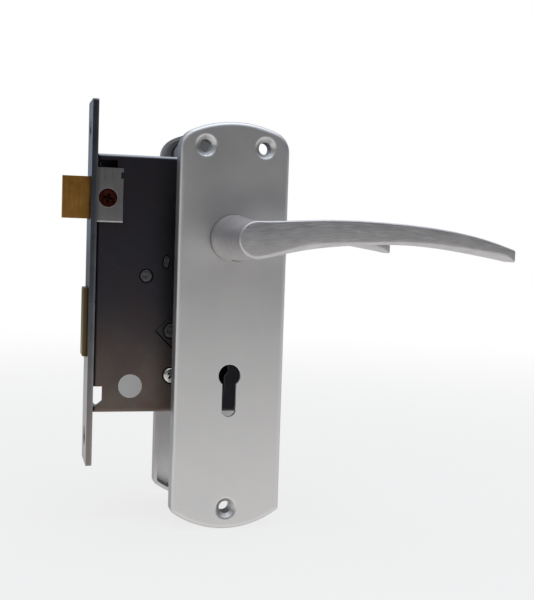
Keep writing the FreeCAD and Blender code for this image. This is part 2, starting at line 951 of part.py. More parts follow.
def make_lever(index):
    y0, y1 = lever_faces(index)
    lift = lever_lifts[index]
    top = pivot_z + lever_head_r
    bottom = pivot_z - lever_head_r
    belly_rear_x = lever_end - belly_rear_inset
    corners = [
        (pivot_x, bottom),
        (belly_front_x, bottom + belly_front_rise),
        (belly_rear_x, belly_height + belly_rear_rise),
        (lever_end, belly_height + lever_corner),
        (lever_end, lever_top - lever_corner),
        (lever_end - lever_corner, lever_top),
        (lever_slope_x, lever_top),
        (pivot_x, top),
    ]
    spots = [at(x, y0, z) for x, z in corners]
    outline = [Part.Arc(spots[-1], at(pivot_x - lever_head_r, y0, pivot_z), spots[0])]
    for a, b in zip(spots, spots[1:]):
        outline.append(Part.LineSegment(a, b))
    outline[2] = Part.Arc(spots[1], at(0, y0, belly_height), spots[2])
    body = slab(outline, y0, y1)
    half = stump_size / 2
    gate_x = stump_x - bolt_throw / 2
    enter = stump_x - half - gate_x - gate_half_length
    leave = stump_x + half - gate_x + gate_half_length
    gate_top = stump_z + half + gate_gap - stump_drop(enter, lift)
    gate_bottom = stump_z - half - gate_gap - stump_drop(leave, lift)
    pocket = half + lever_pocket_gap
    tall = lever_window_half_height
    window = [
        block(
            stump_x - pocket - lever_pocket_extra,
            stump_x + pocket,
            y0,
            y1,
            stump_z - tall,
            stump_z + tall,
        ),
        block(
            stump_x - bolt_throw - pocket,
            gate_x - gate_half_length,
            y0,
            y1,
            stump_z - tall,
            stump_z + tall,
        ),
        block(stump_x - bolt_throw, stump_x, y0, y1, gate_bottom, gate_top),
    ]
    hole = rod(pivot_x, pivot_z, pivot_r + pivot_gap, y0, y1)
    slit = lever_spring_slit(y0, y1)
    return cut(body, window + [hole, slit])


def lever_spring_slit(y0, y1):
    half = lever_spring_strip / 2 + rivet_gap
    return block(
        lever_spring_x - half, lever_spring_x + half, y0, y1, lever_top - lever_spring_root, lever_top
    )


def make_lever_spring(index):
    """A bent strip from the lever's top edge up to the underside of the anchor bar."""
    y0, y1 = lever_faces(index)
    half = lever_spring_strip / 2
    x, z = lever_spring_x, lever_top + lever_spring_rise
    root = block(x - half, x + half, y0, y1, lever_top - lever_spring_root + rivet_gap, z)
    tip_x = anchor_x + lever_spring_tip
    tip_z = anchor_z - anchor_length / 2 - half - rivet_gap
    chord = math.hypot(tip_x - x, tip_z - z)
    bow = (
        (x + tip_x) / 2 + lever_spring_bow * (tip_z - z) / chord,
        (z + tip_z) / 2 - lever_spring_bow * (tip_x - x) / chord,
    )
    return fuse([root, arc_band((x, z), bow, (tip_x, tip_z), lever_spring_strip, y0, y1)])


def make_lever_spacer():
    """The collar that holds the levers off the case on their pivot."""
    y0 = -inside_half + sliding_gap
    y1 = lever_stack_front() - sliding_gap
    return rod(pivot_x, pivot_z, spacer_r, y0, y1).cut(rod(pivot_x, pivot_z, pivot_r + pivot_gap, y0, y1))


# Handle plates, drawn for the near side

def plate_blank(inset, y0, y1):
    """The plate's outline drawn in by inset: straight sides and a flat arc at each end."""
    x = plate_width / 2 - inset
    high, low = plate_top - inset, plate_bottom + inset
    top_r, bottom_r = plate_top_arc_r - inset, plate_bottom_arc_r - inset
    top_corner = high - top_r + math.sqrt(top_r ** 2 - x ** 2)
    bottom_corner = low + bottom_r - math.sqrt(bottom_r ** 2 - x ** 2)
    outline = [
        Part.LineSegment(at(-x, y0, bottom_corner), at(-x, y0, top_corner)),
        Part.Arc(at(-x, y0, top_corner), at(0, y0, high), at(x, y0, top_corner)),
        Part.LineSegment(at(x, y0, top_corner), at(x, y0, bottom_corner)),
        Part.Arc(at(x, y0, bottom_corner), at(0, y0, low), at(-x, y0, bottom_corner)),
    ]
    shape = slab(outline, y0, y1)
    for r, z in ((plate_top_corner_r - inset, top_corner), (plate_bottom_corner_r, bottom_corner)):
        edges = edges_along_y(shape, -x, z, 0.5) + edges_along_y(shape, x, z, 0.5)
        shape = shape.makeFillet(r, edges)
    return shape


def plate_screw_places():
    half = plate_screw_spacing / 2
    return (-half, plate_screw_height), (half, plate_screw_height), (0, plate_foot_screw)


def stop_lug_places():
    """Where the two stops stand beside the ear of the stop washer, before and after the travel."""
    ear = math.asin(stop_ear_width / 2 / stop_lug_ring_r)
    lug = math.asin(stop_lug_r / stop_lug_ring_r)
    slack = running_gap / stop_lug_ring_r
    before = -ear - lug - slack
    after = math.radians(handle_travel) + ear + lug + slack
    places = []
    for a in (before, after):
        places.append((-stop_lug_ring_r * math.sin(a), -stop_lug_ring_r * math.cos(a)))
    return places


def make_plate():
    face, inner, back = -plate_face, plate_wall - plate_face, -half_door
    shell = plate_blank(0, face, back)
    shell = shell.makeFillet(plate_rim_r, edges_at(shell, face))
    shell = shell.cut(plate_blank(plate_wall, inner, back))
    solids = [shell, rod(0, 0, handle_boss_r, inner - boss_root, -boss_end)]
    for x, z in plate_screw_places():
        solids.append(rod(x, z, screw_boss_r, inner - boss_root, back - boss_shortfall))
    for x, z in stop_lug_places():
        solids.append(rod(x, z, stop_lug_r, inner - boss_root, stop_lug_reach - washer_rear))
    tools = [
        rod(0, 0, shank_r + pivot_gap + bush_wall + rivet_gap, face, -boss_end),
        keyhole(keyhole_r, keyhole_slot, keyhole_length, face, inner),
    ]
    for x, z in plate_screw_places():
        sink = plate_countersink_r - plate_hole_r
        tools.append(rod(x, z, plate_hole_r, face, back))
        tools.append(cone(x, z, plate_countersink_r, plate_hole_r, face, face + sink))
    plate = cut(fuse(solids), tools)
    dimples = []
    for x, z in plate_screw_places():
        dimples.extend(rims_near(plate, face, x, z, plate_hole_r))
    plate = plate.makeFillet(plate_dimple_r, dimples)
    middle = key_z - keyhole_length / 2
    return plate.makeFillet(plate_edge_r, rims_near(plate, face, 0, middle, keyhole_length))


def make_bush():
    """The flanged nylon bush that the handle's shank turns in."""
    bore = shank_r + pivot_gap
    sleeve = rod(0, 0, bore + bush_wall, -plate_face, -flange_end)
    flange = rod(0, 0, bush_flange_r, -boss_end, -flange_end)
    return fuse([sleeve, flange]).cut(rod(0, 0, bore, -plate_face, -flange_end))


def flatted(r, flat, y0, y1):
    """A round bar with a flat above and below."""
    return rod(0, 0, r, y0, y1).common(block(-r, r, y0, y1, -flat, flat))


def make_stop_washer():
    """The washer that turns with the shank, its ear running between the plate's two stops."""
    y0, y1 = -washer_front, -washer_rear
    half = stop_ear_width / 2
    disc = rod(0, 0, stop_washer_r, y0, y1)
    ear = block(-half, half, y0, y1, -stop_ear_reach, 0)
    hole = flatted(shank_r + rivet_gap, shank_flat + rivet_gap, y0, y1)
    return fuse([disc, ear]).cut(hole)


def make_clip():
    """The open spring clip in the shank's groove."""
    y0, y1 = -clip_front, -clip_rear
    ring = rod(0, 0, clip_outer_r, y0, y1).cut(rod(0, 0, shank_flat + rivet_gap, y0, y1))
    reach = clip_outer_r * 2
    half = math.radians(clip_opening / 2)
    wide, tall = reach * math.sin(half), reach * math.cos(half)
    wedge = polygon([(0, 0), (wide, tall), (-wide, tall)], y0, y1)
    return ring.cut(wedge)


def make_return_spring():
    """The coil round the handle boss that brings the handle level again."""
    wire_r = return_spring_wire / 2
    mean_r = handle_boss_r + running_gap + wire_r
    inner = plate_face - plate_wall
    length = inner - washer_front - return_spring_wire - 2 * pivot_gap
    spring = coil(mean_r, length, return_spring_turns, wire_r, return_spring_leg)
    spring.rotate(at(0, 0, 0), at(1, 0, 0), -90)
    spring.translate(at(0, wire_r + pivot_gap - inner, 0))
    return spring


def make_handle():
    """The neck on its shank, and the long curved lever across its end."""
    neck_end = -handle_front + handle_thickness
    profile = [
        at(0, -shank_end, 0),
        at(shank_r, -shank_end, 0),
        at(shank_r, -shoulder, 0),
        at(neck_base_r, -shoulder, 0),
        at(neck_base_r, -shoulder - neck_base_length, 0),
        at(neck_top_r, neck_end, 0),
        at(neck_top_r, neck_end - handle_thickness / 2, 0),
        at(0, neck_end - handle_thickness / 2, 0),
    ]
    face = Part.Face(Part.makePolygon(profile + profile[:1]))
    neck = face.revolve(at(0, 0, 0), at(0, 1, 0), 360)
    neck = neck.common(
        fuse([
            rod(0, 0, neck_base_r * 2, -handle_front, -washer_front - washer_gap / 2),
            flatted(shank_r, shank_flat, -washer_front - washer_gap / 2, -shank_end),
        ])
    )
    core = rod(0, 0, shank_flat, -clip_front, -clip_rear)
    groove = rod(0, 0, neck_base_r, -clip_front, -clip_rear).cut(core)
    lever = make_handle_lever()
    half = spindle_size / 2 + rivet_gap * 2
    socket = block(-half, half, -spindle_end - socket_margin, -shank_end, -half, half)
    grub = Part.makeCylinder(
        grub_screw_r + rivet_gap, neck_base_r, at(0, grub_screw_place(), -half - neck_base_r), at(0, 0, 1)
    )
    return cut(fuse([neck.cut(groove), lever]), [socket, grub])


def grub_screw_place():
    return -plate_face - grub_screw_set_out


def make_handle_lever():
    y0 = -handle_front
    top = [
        (0, handle_end_r),
        (handle_length * 0.23, handle_crown),
        (handle_length * 0.49, handle_crown - handle_middle_drop),
        (handle_length * 0.726, handle_crown - handle_outer_drop),
        (handle_length, handle_tip_top),
    ]
    under = [
        (handle_length, handle_tip_bottom),
        (handle_length * 0.85, handle_tip_bottom + handle_under_rise),
        (handle_length * 0.61, handle_under_crown),
        (handle_length * 0.378, handle_under_crown),
        (handle_length * 0.155, handle_heel_drop),
        (0, -handle_end_r),
    ]
    edges = []
    for points in (top, under):
        curve = Part.BSplineCurve()
        curve.interpolate([at(x, y0, z) for x, z in points])
        edges.append(curve)
    tip = Part.LineSegment(at(top[-1][0], y0, top[-1][1]), at(under[0][0], y0, under[0][1]))
    end = Part.Arc(at(0, y0, -handle_end_r), at(-handle_end_r, y0, 0), at(0, y0, handle_end_r))
    lever = slab([edges[0], tip, edges[1], end], y0, y0 + 2 * handle_thickness)
    slope = math.atan2(handle_thickness - handle_tip_thickness, handle_length)
    reach = 2 * handle_length
    waste = block(-reach, reach, 0, reach, -reach, reach)
    waste.rotate(at(0, 0, 0), at(0, 0, 1), -math.degrees(slope))
    waste.translate(at(0, y0 + handle_thickness, 0))
    lever = lever.cut(waste)
    lever = lever.makeFillet(handle_front_edge_r, edges_at(lever, y0))
    normal = at(math.sin(slope), math.cos(slope), 0)
    level = normal.dot(at(0, y0 + handle_thickness, 0))
    rear = [e for e in lever.Edges if all(abs(normal.dot(v.Point) - level) < 1e-3 for v in e.Vertexes)]
    return lever.makeFillet(handle_back_edge_r, rear)


def make_grub_screw():
    """The hexagon socket screw that clamps the handle to the spindle from below."""
    y = grub_screw_place()
    length = grub_screw_length
    foot = -spindle_size / 2 - rivet_gap - length
    body = Part.makeCylinder(grub_screw_r, length, at(0, y, foot), at(0, 0, 1))
    radius = grub_screw_key / math.sqrt(3)
    corners = []
    for i in range(7):
        a = math.radians(60 * i)
        corners.append(at(radius * math.cos(a), y + radius * math.sin(a), foot))
    socket = Part.Face(Part.makePolygon(corners)).extrude(at(0, 0, length / 2))
    return body.cut(socket)


def make_spindle():
    half = spindle_size / 2
    return block(-half, half, -spindle_end, spindle_end, -half, half)


# Writing the pieces

def save(name, shape):
    solids = shape.Solids
    if not shape.isValid() or not solids:
        raise ValueError(name + " is not a valid solid")
    volume = sum(solid.Volume for solid in solids)
    print(f"{name}: {len(solids)} solid, {volume:.1f} mm3")
    shape.exportStep(f"parts/{name}.step")


def main():
    os.makedirs("parts", exist_ok=True)
    save("forend", make_forend())
    save("forend_rivets", make_forend_rivets())
    save("forend_tab_screw", make_tab_screw())
    save("case_body", make_case_body())
    save("case_cover", make_case_cover())
    save("upper_post", make_post(*post_list()[0], -half_case))
    save("lever_pivot_post", make_post(*post_list()[1], -half_case - pad_height))
    save("rear_rivet", make_post(*post_list()[2], -half_case))
    save("spring_anchor", anchor_shape(0, -half_case, inside_half))
    save("case_pillar", make_case_pillar())
    save("case_screw", make_case_screw())
    save("inspection_sticker", make_sticker())
    save("latch_head", make_latch_head())
    save("latch_tail", make_latch_tail())
    save("latch_pin", make_latch_pin())
    save("latch_guide", make_latch_guide())
    save("latch_spring", make_latch_spring())
    save("follower", make_follower())
    save("follower_spring", make_follower_spring())
    save("deadbolt_head", make_bolt_head())
    save("deadbolt_tail", make_bolt_tail())
    save("deadbolt_rivets", Part.makeCompound(bolt_rivets(0)))
    for index in range(len(lever_lifts)):
        save(f"detainer_lever_{index + 1}", make_lever(index))
        save(f"lever_spring_{index + 1}", make_lever_spring(index))
    save("lever_spacer", make_lever_spacer())
    save("spindle", make_spindle())
    near_side = {
        "plate": make_plate(),
        "bush": make_bush(),
        "stop_washer": make_stop_washer(),
        "spring_clip": make_clip(),
        "return_spring": make_return_spring(),
        "handle": make_handle(),
        "grub_screw": make_grub_screw(),
    }
    for name, shape in near_side.items():
        save(f"front_{name}", shape)
        save(f"rear_{name}", mirrored(shape))


main()
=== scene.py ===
import json
import math

import bmesh
import bpy
import numpy as np
from mathutils import Euler, Matrix, Vector


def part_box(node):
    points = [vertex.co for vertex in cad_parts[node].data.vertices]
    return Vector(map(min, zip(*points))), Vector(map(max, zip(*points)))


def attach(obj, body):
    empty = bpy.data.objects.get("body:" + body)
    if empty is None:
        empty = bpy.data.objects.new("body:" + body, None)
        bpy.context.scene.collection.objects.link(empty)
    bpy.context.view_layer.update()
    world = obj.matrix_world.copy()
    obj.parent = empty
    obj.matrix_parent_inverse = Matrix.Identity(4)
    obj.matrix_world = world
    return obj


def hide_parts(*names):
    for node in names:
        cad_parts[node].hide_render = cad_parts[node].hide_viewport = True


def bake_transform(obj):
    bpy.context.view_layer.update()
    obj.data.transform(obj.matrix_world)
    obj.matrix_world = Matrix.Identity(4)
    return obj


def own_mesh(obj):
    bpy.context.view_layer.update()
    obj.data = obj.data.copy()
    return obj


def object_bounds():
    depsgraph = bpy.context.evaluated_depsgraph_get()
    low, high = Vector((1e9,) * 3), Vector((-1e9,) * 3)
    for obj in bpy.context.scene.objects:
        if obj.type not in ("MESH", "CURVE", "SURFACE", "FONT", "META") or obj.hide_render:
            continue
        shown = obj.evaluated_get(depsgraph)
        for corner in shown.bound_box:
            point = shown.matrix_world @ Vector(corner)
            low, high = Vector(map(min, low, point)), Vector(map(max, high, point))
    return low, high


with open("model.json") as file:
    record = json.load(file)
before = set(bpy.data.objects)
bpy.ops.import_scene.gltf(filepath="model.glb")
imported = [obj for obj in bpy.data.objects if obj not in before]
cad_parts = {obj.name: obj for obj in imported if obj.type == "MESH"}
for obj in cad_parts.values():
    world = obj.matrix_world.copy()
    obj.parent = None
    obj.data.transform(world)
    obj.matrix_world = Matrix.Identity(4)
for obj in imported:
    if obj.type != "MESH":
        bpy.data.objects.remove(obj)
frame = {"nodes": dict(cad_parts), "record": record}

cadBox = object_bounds()
print("Frame loaded with", len(frame["nodes"]), "pieces")


# Small helpers

def mm(*values):
    scaled = tuple(value / 1000 for value in values)
    return scaled if len(scaled) > 1 else scaled[0]


def boxMm(node):
    # the node's lowest and highest corners in millimetres
    low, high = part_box(node)
    return low * 1000, high * 1000


def hexColor(code):
    # sRGB hex to the linear values that the shader wants
    channels = [int(code[i:i + 2], 16) / 255 for i in (0, 2, 4)]
    return [c / 12.92 if c <= 0.04045 else ((c + 0.055) / 1.055) ** 2.4 for c in channels] + [1.0]


def addNode(tree, kind, inputs=None, **settings):
    # one shader node with its settings, and its inputs as numbers or links; gives the node's outputs
    node = tree.nodes.new("ShaderNode" + kind)
    for key, value in settings.items():
        setattr(node, key, value)
    for name, value in (inputs or {}).items():
        if isinstance(value, bpy.types.NodeSocket):
            tree.links.new(value, node.inputs[name])
        else:
            node.inputs[name].default_value = value
    return node.outputs


def startMaterial(name):
    material = bpy.data.materials.new(name)
    material.use_nodes = True
    material.node_tree.nodes.clear()
    return material, material.node_tree


bareMetal = {"Metallic": 1.0}


def finishSurface(tree, color, rough, height, depthMm, settings=bareMetal):
    # the shader with its pattern links and its plain numbers, and the material's output
    bump = addNode(tree, "Bump", {"Height": height, "Distance": mm(depthMm)})
    inputs = {"Base Color": color, "Roughness": rough, "Normal": bump[0], **settings}
    shader = addNode(tree, "BsdfPrincipled", inputs)
    addNode(tree, "OutputMaterial", {"Surface": shader[0]})


def patternMm(tree, size, low=0.0, high=1.0, detail=3.0, turn=(0, 0, 0), spot=None):
    # noise from low to high, with grains of this size in mm: one for all ways, or along X, Y and Z
    if spot is None:
        spot = addNode(tree, "TexCoord")["Object"]
    grain = size if isinstance(size, tuple) else (size, size, size)
    inputs = {"Vector": spot, "Rotation": [math.radians(a) for a in turn], "Scale": mm(*grain)}
    place = addNode(tree, "Mapping", inputs, vector_type="TEXTURE")
    inputs = {"Vector": place[0], "Scale": 1.0, "Detail": detail}
    noise = addNode(tree, "TexNoise", inputs)["Fac"]
    # nearly all of the noise lies between 0.3 and 0.7
    spread = {"Value": noise, "From Min": 0.3, "From Max": 0.7, "To Min": low, "To Max": high}
    return addNode(tree, "MapRange", spread)[0]


def layerColors(tree, ground, *layers):
    # a ground colour with other colours laid over it, each by its own share from 0 to 1
    color = hexColor(ground) if isinstance(ground, str) else ground
    for share, over in layers:
        inputs = {"Factor": share, "A": color, "B": hexColor(over) if isinstance(over, str) else over}
        color = addNode(tree, "Mix", inputs, data_type="RGBA")["Result"]
    return color


def paintedShadeShare(tree, reachMm, most=1.0):
    # a share for painted shade: its most deep in grooves and corners, where little is open, and 0 on open
    # faces
    deep, free = 0.42, 0.82
    opening = addNode(tree, "AmbientOcclusion", {"Distance": mm(reachMm)}, samples=8)["AO"]
    spread = {"Value": opening, "From Min": deep, "From Max": free, "To Min": most, "To Max": 0.0}
    return addNode(tree, "MapRange", spread)[0]


def faceUpShare(tree, start, end):
    # 0 where a face looks sideways or down, 1 where it looks up, by how steep it is
    normal = addNode(tree, "NewGeometry")["True Normal"]
    upward = addNode(tree, "SeparateXYZ", {0: normal})["Z"]
    spread = {"Value": upward, "From Min": start, "From Max": end, "To Min": 0.0, "To Max": 1.0}
    return addNode(tree, "MapRange", spread)[0]


# Materials

def satinAnodisedAluminium():
    # Sheet aluminium, pressed, acid etched and clear anodised. The etch leaves no lines, so the face
    # looks like fine silk: a grey that slides slowly from dark to light, with no sharp reflection.
    # Painted shade puts a fine dark line where something stands on it or a hole is cut, and the oxide
    # dulls it where it is seen from a low angle.
    finish = {
        "dark": "dcdad9", "light": "e6e4e2", "cloud": 30.0, "rough": (0.38, 0.44), "etch": 0.22,
        # line is the colour of the painted shade in crevices and round holes
        "etchDepth": 0.004, "line": "5a595b", "shadeLineReach": 0.8, "shadeLineShare": 0.7, "lowAngle": "9aa0a6",
        "standSlope": (-0.8, -0.5),
    }
    material, tree = startMaterial("SatinAnodisedAluminium")
    clouds = patternMm(tree, finish["cloud"])
    # painted shade as a dark line in crevices; the plate's underside stands on the floor, which must not
    # count as a crevice
    creviceShade = paintedShadeShare(tree, finish["shadeLineReach"], finish["shadeLineShare"])
    inputs = {0: creviceShade, 1: faceUpShare(tree, *finish["standSlope"])}
    lines = addNode(tree, "Math", inputs, operation="MULTIPLY")[0]
    color = layerColors(tree, finish["dark"], (clouds, finish["light"]), (lines, finish["line"]))
    rough = patternMm(tree, finish["cloud"], *finish["rough"])
    # the real etch is about 0.05 mm wide and is drawn coarser, so that it shows
    etch = patternMm(tree, finish["etch"])
    settings = {**bareMetal, "Specular Tint": hexColor(finish["lowAngle"])}
    finishSurface(tree, color, rough, etch, finish["etchDepth"], settings)
    return material


def brushedAnodisedAluminium():
    # Die-cast aluminium, belt brushed along the lever and then clear anodised. Fine lines follow the
    # lever's bend, run round its neck, and pull the light into long soft streaks. Painted shade darkens
    # the gap where the neck meets the plate, and other crevices.
    finish = {
        "dark": "c3c0c0", "light": "e1dede", "line": 0.28, "lineLength": 6.0, "lineDepth": 0.007,
        "rough": (0.40, 0.54), "cloud": 5.0, "cloudDark": "bdbabb", "cloudShare": 0.4,
        # gap is the colour of the painted shade at the neck's base and in other crevices
        "gap": "2e2d2f", "gapShadeReach": 1.6, "gapShadeShare": 0.85,
    }
    material, tree = startMaterial("BrushedAnodisedAluminium")
    # the belt's real lines are about 0.1 mm wide and are drawn coarser, so that they show
    spot = addNode(tree, "Attribute", attribute_name="brushSpot")["Vector"]
    grains = (finish["lineLength"], finish["line"], finish["line"])
    lines = patternMm(tree, grains, detail=2.0, spot=spot)
    clouds = patternMm(tree, finish["cloud"], high=finish["cloudShare"])
    # painted shade where the neck meets the plate and in other crevices
    gaps = paintedShadeShare(tree, finish["gapShadeReach"], finish["gapShadeShare"])
    color = layerColors(
        tree, finish["dark"], (lines, finish["light"]), (clouds, finish["cloudDark"]), (gaps, finish["gap"])
    )
    rough = patternMm(tree, grains, *finish["rough"], detail=2.0, spot=spot)
    finishSurface(tree, color, rough, lines, finish["lineDepth"])
    return material


def gunmetalSteel():
    # Pressed mild steel with a dark zinc finish: blue black, with faint clouds in the plating and a few
    # thin handling scratches. A painted reflection of the warm floor makes it brown and lighter lower
    # down, except behind the plates, which keep the blue black as painted shade. Painted shade blackens
    # every groove, and a painted highlight makes the faces that look up a bright blue grey.
    finish = {
        "blue": "424249", "violet": "484246", "cloud": 20.0, "brown": "786d63", "brownShare": (0.6, 1.0),
        "brownTurn": (0, 40, 0), "plateShadeFade": 10.0, "russet": "7a5c52", "russetCloud": 11.0,
        "russetShare": (-0.5, 0.9), "creviceShadeColor": "08080a", "creviceShadeReach": 1.0, "upFaceHighlight": "aeb3b6",
        "upFaceSlope": (0.35, 0.9), "scuff": 0.5, "scuffLength": 8.0, "scuffDepth": 0.004,
        "rough": (0.32, 0.44), "scratch": 0.16, "scratchLength": 20.0, "scratchTurn": (0, 34, 0),
        "scratchColor": "6c6867", "scratchShare": (-5.6, 0.3),  # far below 0, so that few show
    }
    material, tree = startMaterial("GunmetalSteel")
    spot = addNode(tree, "TexCoord")["Object"]
    parts = addNode(tree, "SeparateXYZ", {0: spot})
    low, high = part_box("case_body")
    middle = (low.z + high.z) / 2
    # a painted reflection of the warm floor: browner and lighter towards the bottom
    spread = {"Value": parts["Z"], "From Min": low.z, "From Max": middle, "To Min": 1.0, "To Max": 0.0}
    floorReflectionShare = addNode(tree, "MapRange", spread, interpolation_type="SMOOTHSTEP")[0]
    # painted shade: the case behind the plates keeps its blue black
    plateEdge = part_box("front_plate")[0].x
    behind = plateEdge + mm(finish["plateShadeFade"])
    spread = {"Value": parts["X"], "From Min": plateEdge, "From Max": behind, "To Min": 1.0, "To Max": 0.0}
    outOfPlateShade = addNode(tree, "MapRange", spread, interpolation_type="SMOOTHSTEP")[0]
    patchy = patternMm(tree, finish["cloud"], *finish["brownShare"], detail=4.0, turn=finish["brownTurn"])
    patchyFloorReflection = addNode(tree, "Math", {0: floorReflectionShare, 1: patchy}, operation="MULTIPLY")[0]
    brown = addNode(tree, "Math", {0: patchyFloorReflection, 1: outOfPlateShade}, operation="MULTIPLY")[0]
    russet = patternMm(tree, finish["russetCloud"], *finish["russetShare"], detail=4.0)
    grains = (finish["scratchLength"], finish["scratch"], finish["scratch"])
    scratches = patternMm(tree, grains, *finish["scratchShare"], detail=1.0, turn=finish["scratchTurn"])
    color = layerColors(
        tree, finish["blue"],
        (patternMm(tree, finish["cloud"], detail=4.0), finish["violet"]),
        (brown, layerColors(tree, finish["brown"], (russet, finish["russet"]))),
        (scratches, finish["scratchColor"]),
        # a painted highlight on the faces that look up
        (faceUpShare(tree, *finish["upFaceSlope"]), finish["upFaceHighlight"]),
        # painted shade in every groove and corner
        (paintedShadeShare(tree, finish["creviceShadeReach"]), finish["creviceShadeColor"]),
    )
    scuffs = (finish["scuff"], finish["scuff"], finish["scuffLength"])
    rough = patternMm(tree, scuffs, *finish["rough"], detail=4.0)
    bumps = patternMm(tree, scuffs, detail=4.0)
    finishSurface(tree, color, rough, bumps, finish["scuffDepth"])
    return material


def bluedStrip():
    # Rolled steel strip, zinc plated and blue passivated. The strip is slate blue with rolling lines
    # along its length and goes brown at its foot; its bent tab is a lighter neutral grey, with a thin
    # painted highlight round the screw and painted shade in the crevices.
    finish = {
        "slate": "565a62", "blue": "6a717b", "foot": "8b8480", "cloud": 9.0, "tabLight": "b4b1b1",
        "tabDark": "a09d9c", "line": 0.3, "lineLength": 10.0, "lineDepth": 0.004, "rough": (0.27, 0.38),
        "ring": 4.1, "ringWidth": 0.14, "ringHighlight": "c2b8b6", "creviceShadeColor": "0e0e10", "creviceShadeReach": 0.8,
        "tabStart": -1.2, "tabFull": 1.5,  # from the case's front edge
    }
    material, tree = startMaterial("BluedSteelStrip")
    clouds = patternMm(tree, finish["cloud"], detail=4.0)
    # the bent tab is a lighter neutral grey
    tab = layerColors(tree, finish["tabDark"], (clouds, finish["tabLight"]))
    spot = addNode(tree, "TexCoord")["Object"]
    parts = addNode(tree, "SeparateXYZ", {0: spot})
    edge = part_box("case_body")[0].x
    start, full = edge + mm(finish["tabStart"]), edge + mm(finish["tabFull"])
    spread = {"Value": parts["X"], "From Min": start, "From Max": full, "To Min": 0.0, "To Max": 1.0}
    onTab = addNode(tree, "MapRange", spread)[0]
    foot, top = (corner.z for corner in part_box("forend"))
    halfway = (foot + top) / 2
    spread = {"Value": parts["Z"], "From Min": foot, "From Max": halfway, "To Min": 1.0, "To Max": 0.0}
    atFoot = addNode(tree, "MapRange", spread, interpolation_type="SMOOTHSTEP")[0]
    # a painted highlight: a thin light ring round the screw, on the countersink's edge
    screwLow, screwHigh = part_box("forend_tab_screw")
    middle = (screwLow + screwHigh) / 2
    middle.y = screwLow.y
    away = addNode(tree, "VectorMath", {0: spot, 1: middle}, operation="DISTANCE")["Value"]
    ringInputs = {0: away, 1: mm(finish["ring"]), 2: mm(finish["ringWidth"])}
    onRingHighlight = addNode(tree, "Math", ringInputs, operation="COMPARE")[0]
    color = layerColors(
        tree, finish["slate"], (clouds, finish["blue"]), (atFoot, finish["foot"]), (onTab, tab),
        # a painted highlight ring round the screw, and painted shade in the crevices
        (onRingHighlight, finish["ringHighlight"]), (paintedShadeShare(tree, finish["creviceShadeReach"]), finish["creviceShadeColor"]),
    )
    grains = (finish["line"], finish["line"], finish["lineLength"])
    rough = patternMm(tree, grains, *finish["rough"])
    lines = patternMm(tree, grains)
    finishSurface(tree, color, rough, lines, finish["lineDepth"])
    return material


def boltBrass():
    # Cast and machined brass, tumbled and left bare. The latch is worn to a dull brown gold; the
    # deadbolt, which moves less, has gone olive brown. Upright tool lines show, and painted shade
    # darkens both where they slide through the strip.
    finish = {
        "brown": "ae7a3a", "gold": "cc984e", "olive": "746444", "cloud": 6.0, "creviceShadeColor": "1d1208",
        "creviceShadeReach": 1.4, "tool": 0.3, "toolLength": 9.0, "toolDepth": 0.005, "rough": (0.30, 0.42),
    }
    material, tree = startMaterial("BoltBrass")
    spot = addNode(tree, "TexCoord")["Object"]
    height = addNode(tree, "SeparateXYZ", {0: spot})["Z"]
    bolt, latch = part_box("deadbolt_head")[1].z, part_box("latch_head")[0].z
    spread = {"Value": height, "From Min": bolt, "From Max": latch, "To Min": 1.0, "To Max": 0.0}
    onBolt = addNode(tree, "MapRange", spread)[0]
    color = layerColors(
        tree, finish["brown"], (patternMm(tree, finish["cloud"], detail=4.0), finish["gold"]),
        # painted shade where the bolts pass through the strip and in other crevices
        (onBolt, finish["olive"]), (paintedShadeShare(tree, finish["creviceShadeReach"]), finish["creviceShadeColor"]),
    )
    grains = (finish["tool"], finish["tool"], finish["toolLength"])
    rough = patternMm(tree, grains, *finish["rough"])
    lines = patternMm(tree, grains)
    finishSurface(tree, color, rough, lines, finish["toolDepth"])
    return material


def leverBrass():
    # Half-hard sheet brass, stamped: yellower and cleaner than the bolts, with rolling lines.
    finish = {
        "deep": "b1934e", "pale": "cdb06a", "line": 0.25, "lineLength": 7.0, "lineDepth": 0.003,
        "rough": (0.24, 0.36),
    }
    material, tree = startMaterial("LeverBrass")
    grains = (finish["lineLength"], finish["line"], finish["line"])
    lines = patternMm(tree, grains)
    color = layerColors(tree, finish["deep"], (lines, finish["pale"]))
    rough = patternMm(tree, grains, *finish["rough"])
    finishSurface(tree, color, rough, lines, finish["lineDepth"])
    return material


def patchyMetal(name, finish):
    # two tones in patches, painted shade in the crevices, and fine grains in the surface
    material, tree = startMaterial(name)
    patches = patternMm(tree, finish["patch"], detail=finish["detail"])
    creviceShade = paintedShadeShare(tree, finish["creviceShadeReach"])
    color = layerColors(tree, finish["dark"], (patches, finish["light"]), (creviceShade, finish["creviceShadeColor"]))
    rough = patternMm(tree, finish["patch"], *finish["rough"], detail=finish["detail"])
    grains = patternMm(tree, finish["grain"])
    finishSurface(tree, color, rough, grains, finish["grainDepth"])
    return material


def oiledSteel():
    # Drawn mild steel with old oil on it: a mid grey that is patchy, with hammer dents where it is
    # riveted over and painted shade round its edge.
    return patchyMetal("OiledSteel", {
        "dark": "4c4b4e", "light": "7a797c", "patch": 1.4, "detail": 5.0, "rough": (0.36, 0.54),
        "grain": 1.2, "grainDepth": 0.02, "creviceShadeColor": "0b0b0c", "creviceShadeReach": 1.2,
    })


def brightZinc():
    # Zinc plate, clear passivated: nearly white metal with a faint yellow and blue bloom, and painted
    # shade in the driver recess.
    return patchyMetal("BrightZincPlate", {
        "dark": "d5dadb", "light": "e2dfd2", "patch": 1.6, "detail": 4.0, "rough": (0.20, 0.34),
        "grain": 0.12, "grainDepth": 0.003, "creviceShadeColor": "141414", "creviceShadeReach": 1.0,
    })


